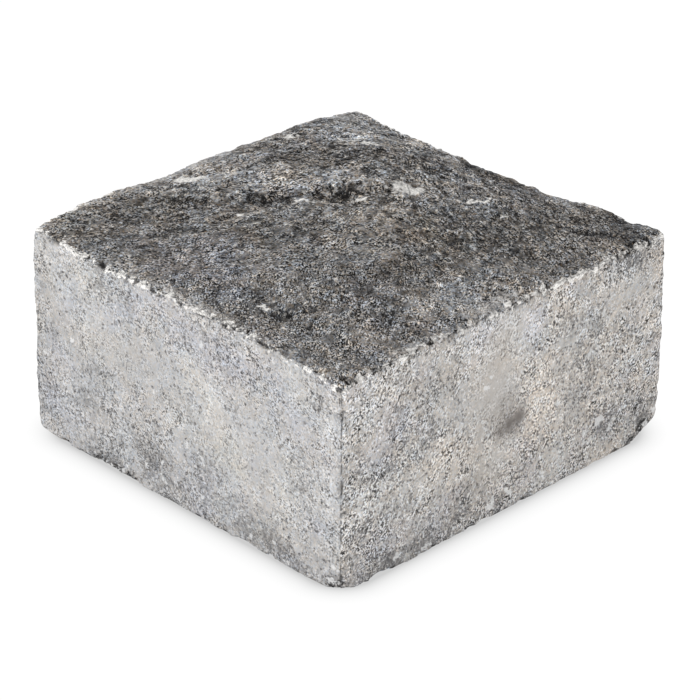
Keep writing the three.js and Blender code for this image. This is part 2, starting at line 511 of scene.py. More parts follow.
    def on_stone(self, q: Array) -> tuple[Array, Array]:
        """Where points of the sharp block's surface lie on the stone.

        A point is drawn in to the block shrunk by the wear radius and set out again by that radius. Its height is
        stretched so that the flat top becomes the riven one. Walls get their relief, and flakes are cut off.

        Args:
            q: points on the sharp block, as rows of three.

        Returns:
            The places on the stone, and how deep the flakes cut there.
        """
        radius = self.wear_at(q)
        core = q.copy()
        core[:, :2] = np.clip(q[:, :2], -self.half + radius[:, None], self.half - radius[:, None])
        core[:, 2] = np.clip(q[:, 2], radius, self.height - radius)
        out = q - core
        out /= np.linalg.norm(out, axis=1, keepdims=True)
        p = core + out * radius[:, None]
        p[:, 2] += (self.top_height(p) - self.height) * (p[:, 2] / self.height)
        p[:, :2] += out[:, :2] * self.wall_relief * self.wall.at(p)[:, None]
        cut = np.zeros(len(p))
        for flake in (*self.flakes, *self.scattered_flakes()):
            cut = np.maximum(cut, flake.knock_off(p) * flake.dark)
        p[:, 2] = np.maximum(p[:, 2], 0)
        return p, cut

    def scattered_flakes(self) -> list[Flake]:
        """The small chips, at random places along the foot, the arris and the upright edges.

        Returns:
            The chips, wall by wall from +X anticlockwise.
        """
        chips = self.chips
        rng = np.random.default_rng(chips.seed)
        flakes = []

        def chip(edge: Array, first: Array, second: Array) -> None:
            """Adds one chip.

            Args:
                edge: the place on the edge.
                first, second: the ways that the two faces look.
            """
            lean = np.radians(rng.uniform(*chips.lean))
            out = first * np.cos(lean) + second * np.sin(lean)
            rounded_off = self.edge_wear * (np.cos(lean) + np.sin(lean) - 1)
            at = edge - out * (rounded_off + rng.uniform(*chips.depth))
            flakes.append(Flake(tuple(at), tuple(out), rng.uniform(*chips.hollow), chips.dark))

        up = np.array([0.0, 0.0, 1.0])
        half = np.array([*self.half, 0])
        for quarter in range(4):
            wall = np.array([np.cos(quarter * np.pi / 2), np.sin(quarter * np.pi / 2), 0]).round()
            beside = np.cross(up, wall)
            for _ in range(chips.foot):
                chip((wall + rng.uniform(-chips.reach, chips.reach) * beside) * half, wall, -up)
            for _ in range(chips.arris if wall @ [1, -1, 0] > 0 else chips.back_arris):
                edge = (wall + rng.uniform(-chips.reach, chips.reach) * beside) * half
                edge[2] = self.top_height(edge[None])[0]
                chip(edge, wall, up)
            for _ in range(chips.upright):
                chip((wall + beside) * half + up * rng.uniform(*chips.heights) * self.height, wall, beside)
        return flakes

    def grid_line(self, count: int) -> Array:
        """count + 1 places from -1 to 1, closer together at both ends: 0.65 t + 0.35 sin(90 t degrees)."""
        t = np.linspace(-1, 1, count + 1)
        return t + self.crowding * (np.sin(t * np.pi / 2) - t)

    def loop(self, count: int, z: float, inset: float) -> Array:
        """Points round the block at one height, anticlockwise from the left corner.

        Args:
            count: points to a side.
            z: the height.
            inset: how far in from the walls they lie.

        Returns:
            Rows of three.
        """
        line = self.grid_line(count)[:-1]
        one = np.ones(count)
        u = np.concatenate([line, one, -line, -one]) * (self.half[0] - inset)
        v = np.concatenate([-one, line, one, -line]) * (self.half[1] - inset)
        return np.stack([u, v, np.full(4 * count, z)], axis=1)

    def square(self, count: int, z: float, inset: float) -> Array:
        """A square grid of points over the block at one height, row by row from the left corner.

        Args:
            count: cells to a side.
            z: the height.
            inset: how far in from the walls its border lies.

        Returns:
            Rows of three.
        """
        line = self.grid_line(count)
        u, v = np.meshgrid(line * (self.half[0] - inset), line * (self.half[1] - inset))
        return np.stack([u.ravel(), v.ravel(), np.full(u.size, z)], axis=1)

    @staticmethod
    def rim(count: int) -> Array:
        """The numbers of a square grid's border points, anticlockwise from its first point."""
        number = np.arange((count + 1) ** 2).reshape(count + 1, count + 1)
        return np.concatenate([number[0, :-1], number[:-1, -1], number[-1, :0:-1], number[:0:-1, 0]])

    @staticmethod
    def square_quads(count: int) -> Array:
        """The cells of a square grid of points, facing up."""
        number = np.arange((count + 1) ** 2).reshape(count + 1, count + 1)
        return np.stack([number[:-1, :-1], number[:-1, 1:], number[1:, 1:], number[1:, :-1]], axis=-1).reshape(-1, 4)

    @staticmethod
    def band(lower: Array, upper: Array) -> Array:
        """The cells between two loops of points of the same count, facing out where upper is the higher one."""
        return np.stack([lower, np.roll(lower, -1), np.roll(upper, -1), upper], axis=1)

    def lattice(self) -> Lattice:
        """The sharp block as one closed net.

        A square grid on the top, rows of cells down the walls, two loops turned in under the foot, a row that joins
        bed_step fine cells to each coarse one, and a coarse square grid for the bed.

        Returns:
            The net, with its points' ways from the edges.
        """
        n, rows, step = self.cells, self.wall_rows, self.bed_step
        *insets, bed_inset = self.bed_insets
        coarse = n // step
        top = self.square(n, self.height, 0)
        walls = [self.loop(n, share * self.height, 0) for share in (self.grid_line(rows)[:-1] + 1) / 2]
        under = [self.loop(n, 0, inset) for inset in insets]
        parts = [top, *walls, *under, self.square(coarse, 0, bed_inset)]
        starts = np.cumsum([0] + [len(part) for part in parts])
        foot, bed_start = starts[1 + rows], starts[-2]
        loops = [start + np.arange(4 * n) for start in starts[1:-2]]
        levels, turned = [*loops[:rows], self.rim(n)], [loops[0], *loops[rows:]]
        quads = [self.square_quads(n)]
        quads += [self.band(a, b) for a, b in zip(levels[:-1], levels[1:])]
        quads += [self.band(b, a) for a, b in zip(turned[:-1], turned[1:])]
        quads.append(self.square_quads(coarse)[:, ::-1] + bed_start)
        inner = self.rim(coarse) + bed_start
        following = np.roll(inner, -1)
        outer = np.append(turned[-1], turned[-1][0])
        fine = [outer[k : k + 4 * n - step + 1 : step] for k in range(step + 1)]
        quads.append(np.stack([inner, following, fine[2], fine[1]], axis=1))
        triangles = [np.stack([inner, fine[1], fine[0]], axis=1), np.stack([following, fine[3], fine[2]], axis=1)]
        points = np.concatenate(parts)
        number = np.arange(len(points))
        in_from_walls = self.half - abs(points[:, :2])
        from_arris = np.where(number < len(top), in_from_walls.min(axis=1), points[:, 2] - self.height)
        from_arris[foot:] = -self.height
        from_upright = in_from_walls.max(axis=1)
        faces = np.concatenate(quads), np.concatenate(triangles)
        return Lattice(points, *faces, from_arris, from_upright, from_arris + self.height, number >= foot)


# ---------------------------------------------------------------------------------------------------------------
# Reading a surface
# ---------------------------------------------------------------------------------------------------------------


@dataclass
class Surface:
    """A mesh as arrays, with what the shaping reads from it."""

    points: Array
    quads: Array
    triangles: Array

    def edges(self) -> Array:
        """Each side of each face, as two point numbers; a side between two faces comes twice."""
        faces = (self.quads, self.triangles)
        return np.concatenate([f[:, [k, (k + 1) % f.shape[1]]] for f in faces for k in range(f.shape[1])])

    def normals(self) -> Array:
        """The outward direction at each point: the sum of its faces' crossed diagonals or sides, at length 1.

        Returns:
            Rows of three.
        """
        p = self.points
        a, b, c, d = (p[self.quads[:, k]] for k in range(4))
        e, f, g = (p[self.triangles[:, k]] for k in range(3))
        total = np.zeros_like(p)
        for faces, facing in ((self.quads, np.cross(c - a, d - b)), (self.triangles, np.cross(f - e, g - e))):
            for axis in range(3):
                total[:, axis] += sum(np.bincount(corner, facing[:, axis], len(p)) for corner in faces.T)
        return total / np.maximum(np.linalg.norm(total, axis=1, keepdims=True), 1e-12)

    def smoothed(self, values: Array, rounds: int) -> Array:
        """Values after each has been replaced, round after round, by the mean of its neighbours and itself.

        Args:
            values: one or more for each point.
            rounds: how often.

        Returns:
            The new values, in the same shape.
        """
        sides = self.edges()
        count = len(self.points)
        degree = np.bincount(sides[:, 0], minlength=count) + 1.0
        columns = values.reshape(count, -1).astype(float)
        for _ in range(rounds):
            sums = [np.bincount(sides[:, 0], column[sides[:, 1]], count) for column in columns.T]
            columns = (columns + np.stack(sums, axis=1)) / degree[:, None]
        return columns.reshape(values.shape)

    def relief(self, rounds: int) -> Array:
        """How far each point stands out of the surface smoothed by that many rounds, negative in a hollow."""
        return np.einsum("ij,ij->i", self.points - self.smoothed(self.points, rounds), self.normals())


def make_object(name: str, surface: Surface, attributes: dict[str, Array]) -> bpy.types.Object:
    """Puts a surface in millimetres into a new smooth-shaded mesh object in metres.

    Args:
        name: the object's and the mesh's name.
        surface: points and faces.
        attributes: one number for each point, by name, for the material to read.

    Returns:
        The object, linked to the scene.
    """
    mesh = bpy.data.meshes.new(name)
    corners = np.concatenate([surface.quads.ravel(), surface.triangles.ravel()])
    sizes = np.concatenate([np.full(len(surface.quads), 4), np.full(len(surface.triangles), 3)])
    starts = np.concatenate([[0], np.cumsum(sizes)[:-1]])
    mesh.vertices.add(len(surface.points))
    mesh.vertices.foreach_set("co", (surface.points * MM).astype(np.float32).ravel())
    mesh.loops.add(len(corners))
    mesh.loops.foreach_set("vertex_index", corners.astype(np.int32))
    mesh.polygons.add(len(sizes))
    mesh.polygons.foreach_set("loop_start", starts.astype(np.int32))
    mesh.update(calc_edges=True)
    mesh.shade_smooth()
    for key, values in attributes.items():
        mesh.attributes.new(key, "FLOAT", "POINT").data.foreach_set("value", values.astype(np.float32))
    if mesh.validate():
        raise ValueError(f"{name} has faulty faces")
    item = bpy.data.objects.new(name, mesh)
    bpy.context.scene.collection.objects.link(item)
    return item


# ---------------------------------------------------------------------------------------------------------------
# Shader building
# ---------------------------------------------------------------------------------------------------------------


class Value:
    """A number, a vector or a colour that shader nodes work out. Numbers can be reckoned with like Python's own."""

    def __init__(self, wire: "Wire", socket: bpy.types.NodeSocket) -> None:
        """Takes a node's output."""
        self.wire = wire
        self.socket = socket

    def maths(self, operation: str, *others: object, clamp: bool = False) -> "Value":
        """The result of one Math node that starts from this number."""
        return self.wire.maths(operation, self, *others, clamp=clamp)

    def __add__(self, other: object) -> "Value":
        """The sum."""
        return self.maths("ADD", other)

    def __sub__(self, other: object) -> "Value":
        """The difference."""
        return self.maths("SUBTRACT", other)

    def __mul__(self, other: object) -> "Value":
        """The product."""
        return self.maths("MULTIPLY", other)

    def __truediv__(self, other: object) -> "Value":
        """The quotient."""
        return self.maths("DIVIDE", other)

    def at_least(self, other: object) -> "Value":
        """The larger of two numbers."""
        return self.maths("MAXIMUM", other)

    def eased(self, low: object, high: object, start: float = 0.0, end: float = 1.0) -> "Value":
        """What the ramp of those four makes of this number."""
        inputs = {"Value": self, "From Min": low, "From Max": high, "To Min": start, "To Max": end}
        return self.wire.put("MapRange", inputs, interpolation_type="SMOOTHSTEP")[0]


class Outputs:
    """The outputs of one node."""

    def __init__(self, wire: "Wire", node: bpy.types.Node) -> None:
        """Takes a node."""
        self.wire = wire
        self.node = node

    def __getitem__(self, key: str | int) -> Value:
        """One output, by its name or number."""
        return Value(self.wire, self.node.outputs[key])


@dataclass(frozen=True)
class Cloud:
    """Cloudy values with waves of so many millimetres: round 0.5, or as the ramp makes them."""

    wave: float
    detail: float = 2
    rough: float = 0.5
    ramp: Ramp | None = None


class Wire:
    """Adds nodes to one shader tree and joins them. An input is a Value, a number or a colour."""

    def __init__(self, tree: bpy.types.NodeTree) -> None:
        """Starts on an empty tree."""
        self.tree = tree
        tree.nodes.clear()

    def put(self, kind: str, inputs: dict[str | int, object] | None = None, **settings: object) -> Outputs:
        """Adds a node.

        Args:
            kind: the node's class, without the ShaderNode at its front.
            inputs: what goes into each socket, by its name or number.
            settings: the node's own properties.

        Returns:
            The node's outputs.
        """
        node = self.tree.nodes.new("ShaderNode" + kind)
        for key, value in settings.items():
            setattr(node, key, value)
        for key, value in (inputs or {}).items():
            self.join(value, node.inputs[key])
        return Outputs(self, node)

    def join(self, value: object, socket: bpy.types.NodeSocket) -> None:
        """Links a Value to a socket, or sets the socket to a number or colour.

        Args:
            value: what goes in.
            socket: a node's input.
        """
        if isinstance(value, Value):
            self.tree.links.new(value.socket, socket)
        elif socket.type == "RGBA" and len(value) == 3:
            socket.default_value = (*value, 1)
        else:
            socket.default_value = value

    def maths(self, operation: str, *values: object, clamp: bool = False) -> Value:
        """The result of one Math node."""
        return self.put("Math", dict(enumerate(values)), operation=operation, use_clamp=clamp)[0]

    def blend(self, share: object, first: object, second: object) -> Value:
        """Two numbers mixed by a share."""
        return self.put("Mix", {0: share, 2: first, 3: second}, data_type="FLOAT")[0]

    def mix(self, share: object, first: object, second: object, blend: str = "MIX") -> Value:
        """Two colours mixed by a share."""
        return self.put("Mix", {0: share, 6: first, 7: second}, data_type="RGBA", blend_type=blend)[2]

    def tinted(self, colour: object, tint: object) -> Value:
        """A colour multiplied by another."""
        return self.mix(1.0, colour, tint, "MULTIPLY")

    def attribute(self, name: str) -> Value:
        """The number that the mesh holds at each point under a name."""
        return self.put("Attribute", attribute_name=name)["Fac"]

    def turned(self, where: Value, degrees: Point, stretch: Point) -> Value:
        """Places read from a pattern that is turned about the axes and drawn out along its own."""
        inputs = {"Vector": where, "Rotation": tuple(np.radians(degrees)), "Scale": stretch}
        return self.put("Mapping", inputs, vector_type="TEXTURE")[0]

    def noise(self, where: Value, per_metre: object, detail: object, rough: float, bend: float = 0.0) -> Outputs:
        """Cloudy values round 0.5, as a number under Fac and as three under Color."""
        inputs = {"Vector": where, "Scale": per_metre, "Detail": detail, "Roughness": rough, "Distortion": bend}
        return self.put("TexNoise", inputs)

    def cloud(self, where: Value, cloud: Cloud) -> Value:
        """A cloud's values."""
        value = self.noise(where, 1 / (cloud.wave * MM), cloud.detail, cloud.rough)["Fac"]
        return value.eased(*cloud.ramp) if cloud.ramp else value


class Group:
    """A shader node group in the making. given holds its inputs."""

    def __init__(self, name: str, vectors: tuple[str, ...], numbers: tuple[str, ...], gives: tuple[str, ...]) -> None:
        """Starts a group.

        Args:
            name: the group's name.
            vectors: the names of the inputs that are vectors.
            numbers: the names of the inputs that are numbers.
            gives: the names of the outputs, which are numbers.
        """
        self.tree = bpy.data.node_groups.new(name, "ShaderNodeTree")
        self.wire = Wire(self.tree)
        sockets = [(label, "INPUT", "Vector") for label in vectors]
        sockets += [(label, "INPUT", "Float") for label in numbers] + [(label, "OUTPUT", "Float") for label in gives]
        for label, way, kind in sockets:
            self.tree.interface.new_socket(name=label, in_out=way, socket_type="NodeSocket" + kind)
        self.given = Outputs(self.wire, self.tree.nodes.new("NodeGroupInput"))
        self.sink = self.tree.nodes.new("NodeGroupOutput")

    def give(self, name: str, value: Value) -> None:
        """Joins a result to the output of that name."""
        self.wire.join(value, self.sink.inputs[name])


TONE_WAVES = (0.7, 1.5, 4.0, 12, 45)  # millimetres
FINE_LAYERS = 2
CAP_BLEND = 0.05  # how far the cap's bend reaches
LEDGE_RISE = Ramp(0.1, 0.4)  # all three are places within a step, from 0 to 1
# the crease is where a painted shade goes at a step's foot, the lip where a painted highlight goes on its edge
LEDGE_CREASE_SHADE = Ramp(0, 0.08), Ramp(0.36, 0.16)
LEDGE_LIP_HIGHLIGHT = Ramp(0.34, 0.42), Ramp(0.7, 0.5)
PATCH_ROUGH = 0.6
SPECK_RIM = Ramp(1.0, 0.45)
SPECK_BEND = 1.2  # of a cell


def tone_group() -> bpy.types.NodeTree:
    """Layered tone: clouds of five wavelengths, each round 0, added up in given amounts.

    The finest layers are made stronger or weaker by Crispness, and Cap holds down how far they brighten. Grain is the
    second and third layer alone, for the relief to follow.

    Returns:
        The group.
    """
    amounts = tuple(f"Amount {n + 1}" for n in range(len(TONE_WAVES)))
    group = Group("Layered tone", ("Vector", "Shift"), ("Crispness", "Cap", *amounts), ("Tone", "Grain"))
    wire, given = group.wire, group.given
    where = wire.put("VectorMath", {0: given["Vector"], 1: given["Shift"]}, operation="ADD")[0]
    layers = [wire.noise(where, 1 / (wave * MM), 1.0, 0.6, 0.3)["Fac"] - 0.5 for wave in TONE_WAVES]
    first, *others = (layer * given[amount] for layer, amount in zip(layers, amounts))
    fine = sum(others[: FINE_LAYERS - 1], first) * given["Crispness"]
    group.give("Tone", sum(others[FINE_LAYERS - 1 :], fine.maths("SMOOTH_MIN", given["Cap"], CAP_BLEND)))
    group.give("Grain", layers[1] + layers[2])
    return group.tree


def ledge_group() -> bpy.types.NodeTree:
    """Small split faces: a cloud cut into steps, each with a steep rise, a painted shade in the crease at its foot and
    a painted highlight on its lip.

    Returns:
        The group.
    """
    group = Group("Split ledges", ("Vector",), ("Per metre", "Steps"), ("Height", "Crease shade", "Lip highlight"))
    given = group.given
    steps = group.wire.noise(given["Vector"], given["Per metre"], 4.0, 0.6, 0.7)["Fac"] * given["Steps"]
    over = steps.maths("FRACT")
    group.give("Height", (steps.maths("FLOOR") + over.eased(*LEDGE_RISE)) / given["Steps"])
    for name, (rise, fall) in {"Crease shade": LEDGE_CREASE_SHADE, "Lip highlight": LEDGE_LIP_HIGHLIGHT}.items():
        group.give(name, over.eased(*rise) * over.eased(*fall))
    return group.tree


def patch_group() -> bpy.types.NodeTree:
    """Soft patches, such as stains: 1 inside them and 0 outside, with a ragged, blurred rim.

    Lean raises or lowers the cloud before it is cut, so that patches gather where it is high.

    Returns:
        The group.
    """
    group = Group("Soft patches", ("Vector",), ("Per metre", "Detail", "Lean", "Level", "Blur"), ("Mask",))
    given = group.given
    cloud = group.wire.noise(given["Vector"], given["Per metre"], given["Detail"], PATCH_ROUGH)["Fac"] + given["Lean"]
    group.give("Mask", cloud.eased(given["Level"] - given["Blur"], given["Level"] + given["Blur"]))
    return group.tree


def speck_group() -> bpy.types.NodeTree:
    """Scattered specks: a grain in some cells of a cell pattern, each of its own size and a little out of round.

    Share is how many of the cells have one, and Size is their radius as a share of a cell.

    Returns:
        The group.
    """
    group = Group("Scattered specks", ("Vector",), ("Per metre", "Share", "Size"), ("Mask",))
    wire, given = group.wire, group.given
    bent = wire.noise(given["Vector"], given["Per metre"] * 2.0, 2.0, 0.5)["Color"]
    bent = wire.put("VectorMath", {0: bent, 1: (0.5, 0.5, 0.5)}, operation="SUBTRACT")[0]
    bend = wire.maths("DIVIDE", SPECK_BEND, given["Per metre"])
    bent = wire.put("VectorMath", {0: bent, "Scale": bend}, operation="SCALE")[0]
    where = wire.put("VectorMath", {0: given["Vector"], 1: bent}, operation="ADD")[0]
    cells = wire.put("TexVoronoi", {"Vector": where, "Scale": given["Per metre"]})
    chance = wire.put("SeparateXYZ", {0: cells["Color"]})
    radius = given["Size"] * (chance[1] + 0.5)
    has = chance[0].maths("LESS_THAN", given["Share"])
    group.give("Mask", (cells["Distance"] / radius).eased(*SPECK_RIM) * has)
    return group.tree


# ---------------------------------------------------------------------------------------------------------------
# Finishes
# ---------------------------------------------------------------------------------------------------------------


@dataclass(frozen=True)
class Grain:
    """How a kind of surface is toned.

    The shade is how light it looks, from 0 to 1: its reflectance is the shade to the power of 2.2. Amounts are how far
    each layer of tone, finest first, moves the shade, and the finest ones brighten it by no more than cap. The
    pattern is moved by the shift in metres, turned by so many degrees about the axes, and drawn out by the stretch
    along its own. The stone says how the riven top's pattern is turned.
    """

    shade: float
    amounts: tuple[float, ...]
    cap: float
    tint: Colour
    shift: Point
    turn: Point
    stretch: Point


@dataclass(frozen=True)
class Patches:
    """Soft patches: their waves in millimetres, the level that the cloud is cut at, the blur and the raggedness."""

    wave: float
    level: float
    blur: float
    detail: float = 3


@dataclass(frozen=True)
class Specks:
    """Scattered specks: the millimetres of a cell, their size as a share of it, and how many cells have one."""

    cell: float
    size: float
    share: Cloud


@dataclass(frozen=True)
class Hues:
    """Warm and cool colouring: stains and grains, and where bright places turn greyer."""

    warm: Colour
    cool: Colour
    warm_stains: Patches
    cool_stains: Patches
    grains: Cloud
    paling: Ramp


GRAIN_PARTS = Ramp(0.38, 0.62)  # of the cloud that parts the cool grains from the warm ones


@dataclass(frozen=True)
class GraniteFinish:
    """Grey granite: pale hewn walls with mica specks, and a dark riven top with a crumbled, bright arris. Crevices,
    creases, pores, holes, seams, gaps and pits are painted in a shadow black. The ledges' lips and the arris crumbs
    carry a painted highlight, and the top is painted lighter on its high points and darker in its hollows.
    """

    smooth: Grain = Grain(
        0.723, (0.88, 0.42, 0.2, 0.12, 0.08), 0.1, (1.006, 0.998, 1.001), (0, 0, 0), (0, -50, 0), (1, 1, 1.3)
    )
    coarse: Grain = Grain(
        0.739, (1.82, 0.58, 0.2, 0.12, 0.13), 0.18, (1.045, 1.0, 0.953), (0.3, 0, 0), (-35, 0, 0), (1, 1, 1.45)
    )
    riven: Grain = Grain(
        0.434, (2.25, 0.46, 0.25, 0.21, 0.25), 0.3, (1.034, 1.0, 0.977), (0, 0.3, 0), (0, 0, 0), (1.4, 1, 1)
    )
    darkest: float = 0.1  # shade, before its power is taken
    shade_power: float = 2.2
    wall_hues: Hues = Hues(
        (1.04, 1.0, 0.948),
        (0.96, 1.0, 1.052),
        Patches(46, 0.62, 0.15),
        Patches(27, 0.62, 0.13),
        Cloud(1.2, 2, 0.7, GRAIN_PARTS),
        Ramp(0.5, 0.86, 0.0, 0.7),
    )
    top_hues: Hues = Hues(
        (1.09, 1.0, 0.88),
        (0.92, 0.985, 1.075),
        Patches(33, 0.62, 0.15),
        Patches(21, 0.62, 0.13),
        Cloud(1.4, 2, 0.7, GRAIN_PARTS),
        Ramp(0.14, 0.5, 0.0, 0.7),
    )
    drifts: Cloud = Cloud(18, 6, 0.75, Ramp(0.4, 0.6))
    wall_drift: Line = Line(0.1, 0.44)  # by how coarse the wall is
    stain_lean: float = 0.17  # for a hue of 1
    warm_stain: Colour = (1.052, 1.0, 0.95)
    cream_stain: Colour = (1.018, 1.006, 0.952)
    cool_stain: Colour = (0.984, 0.99, 1.036)
    warm_drift: Colour = (1.045, 1.0, 0.955)
    cool_drift: Colour = (0.96, 1.0, 1.05)
    pale_hue: Colour = (0.99, 1.0, 1.012)
    mica: Colour = (0.09, 0.088, 0.09)
    dull: Colour = (0.27, 0.26, 0.255)
    # a soft dark mark on the right wall
    dark_mark: Colour = (0.19, 0.172, 0.16)
    # pale crumbs, flecks and bruises; also the painted highlight on the ledges' lips
    crumb: Colour = (0.84, 0.82, 0.79)
    # the pale arris crumbs brightened further as a painted highlight
    crumb_highlight: Colour = (1.16, 1.16, 1.16)  # times the top's crumbs
    bloom: Colour = (0.8, 0.8, 0.8)
    washed: Colour = (0.505, 0.475, 0.445)
    # painted shadow: the near-black shade inside crevices, creases, pores, holes, seams, gaps and pits
    crevice_shadow: Colour = (0.02, 0.019, 0.019)
    rust: Colour = (0.3, 0.21, 0.13)

    # Walls and top
    # the walls are darker towards the foot
    darker_at_foot: Ramp = Ramp(0.0, 38 * MM, 0.036, 0.0)  # shade taken off, by the height in metres
    gathering: Cloud = Cloud(19)
    gathers: Line = Line(0.5, -0.27)

    # Hewn walls. A name that ends with one of the mesh's own numbers says how its thing follows that number.
    wall_contrast: Cloud = Cloud(24, 4, 0.6, Ramp(0.36, 0.62, 0.38, 1.6))
    wall_mottle: Cloud = Cloud(5, 2, 0.6, Ramp(0.36, 0.64, 0.25, 1.8))
    contrast_calm: Line = Line(-0.58, 1.08)
    contrast_pocked: Line = Line(0.35, 1.0)
    pocked_darkens: float = 0.03
    washed_share: float = 0.75
    pock_pocked: float = 0.095
    pock_washed: float = -0.25
    large_pocks: Patches = Patches(3.0, 0.66, 0.045, 2)
    large_pocks_pocked: Line = Line(0.35, 0.4)
    small_pocks: Patches = Patches(1.3, 0.65, 0.035, 1)
    small_pocks_coarse: Line = Line(0.25, 0.6)
    mica_specks: Specks = Specks(2.4, 0.3, Cloud(13, 3, 0.65))
    mica_shares: Ramp = Ramp(0.44, 0.7, 0.12, 1.0)
    mica_pocked: float = 0.16
    mica_washed: Line = Line(-0.8, 0.95)
    mica_dulled: Cloud = Cloud(1.7, 2, 0.7, Ramp(0.4, 0.6))
    blooms: Patches = Patches(5.2, 0.665, 0.025, 7)
    bloom_pocked: float = 0.1
    bloom_share: float = 0.75
    white_specks: Specks = Specks(1.8, 0.27, Cloud(10, 3, 0.6, Ramp(0.4, 0.64, 0.03, 0.42)))
    white_coarse: Line = Line(0.6, 0.25)
    relief_coarse: Line = Line(0.35, 0.4)
    pock_relief: float = -0.3

    # Riven top
    # painted light on the relief's high points and painted shade in its hollows
    fine_height_painted_shading: float = 0.09
    height_painted_shading: float = 0.08
    top_contrast: Cloud = Cloud(16, 3, 0.6, Ramp(0.36, 0.62, 0.55, 1.5))
    top_mottle: Cloud = Cloud(5.5, 3, 0.7, Ramp(0.36, 0.64, 0.15, 2.0))
    top_contrast_calm: Line = Line(-0.4, 1.05)
    layers_behind: Ramp = Ramp(0.1, 0.24, 1.0, 2.2)
    ledge_wave: float = 8
    ledge_steps: float = 5
    ledge_stretch: Point = (1.9, 1, 1)
    ledge_relief: float = 3
    # the ledges' lips get a painted highlight and their creases a painted shade, where the creasing clouds say
    lip_highlight_share: float = 0.3
    creasing: Cloud = Cloud(11)
    creased: Ramp = Ramp(0.44, 0.7, 0.05, 0.95)
    crease_parts: Cloud = Cloud(2.6, 2, 0.6, Ramp(0.42, 0.58, 0.15, 1.0))
    # pores painted as shadow
    pores: Specks = Specks(1.9, 0.3, Cloud(12, 3, 0.6, Ramp(0.4, 0.64, 0.06, 0.42)))
    pore_share: float = 0.85
    flecks: Specks = Specks(1.7, 0.27, Cloud(9, 3, 0.6, Ramp(0.42, 0.66, 0.03, 0.26)))
    fleck_share: float = 0.9
    rusty: Patches = Patches(2.4, 0.72, 0.03, 1)
    rust_share: float = 0.5
    # holes painted as shadow
    holes: Patches = Patches(1.9, 0.655, 0.05, 2)
    hole_share: float = 0.95
    crumb_light: Cloud = Cloud(1.1, 2, 0.7, Ramp(0.35, 0.6, 0.5, 1.12))
    crumb_tone: Ramp = Ramp(0.5, 1.12, 0.72, 1.12)
    bruise_rim: Ramp = Ramp(0.15, 0.9)
    bruise_share: float = 0.95

    # Where one gives way to the other
    arris_ragged: Cloud = Cloud(3.4, 3, 0.7)
    arris_wanders: Line = Line(6.0, -3.0)
    arris_rim: Ramp = Ramp(-0.4, 0.4)
    worn_rim: Ramp = Ramp(0.2, 0.8)
    worn_share: float = 0.6
    # seams and gaps painted as crevice shadow
    seam: Ramp = Ramp(1.1, 0.4)
    seam_parts: Patches = Patches(3.0, 0.5, 0.08)
    seam_share: float = 0.75
    gap_share: float = 0.85
    crumb_rim: Ramp = Ramp(0.35, 0.65)
    beside_arris: Ramp = Ramp(4.2, 0.4)
    arris_middle: float = 0.2
    crumbs: Patches = Patches(3.6, 0.65, 0.025)
    crumb_beside: float = 0.125
    # pits and broken places painted as crevice shadow
    broken: Patches = Patches(2.2, 0.67, 0.03)
    broken_beside: float = 0.07
    starts_beside: Ramp = Ramp(0.0, 0.3)
    pit_rim: Ramp = Ramp(0.3, 0.9)
    pit_grain: float = -1.2
    pit_parts: Cloud = Cloud(1.3, 2, 0.7, Ramp(0.63, 0.45, 0.15, 0.97))

    roughness: float = 0.9
    shine: float = 0.15
    bump: float = 1.2 * MM


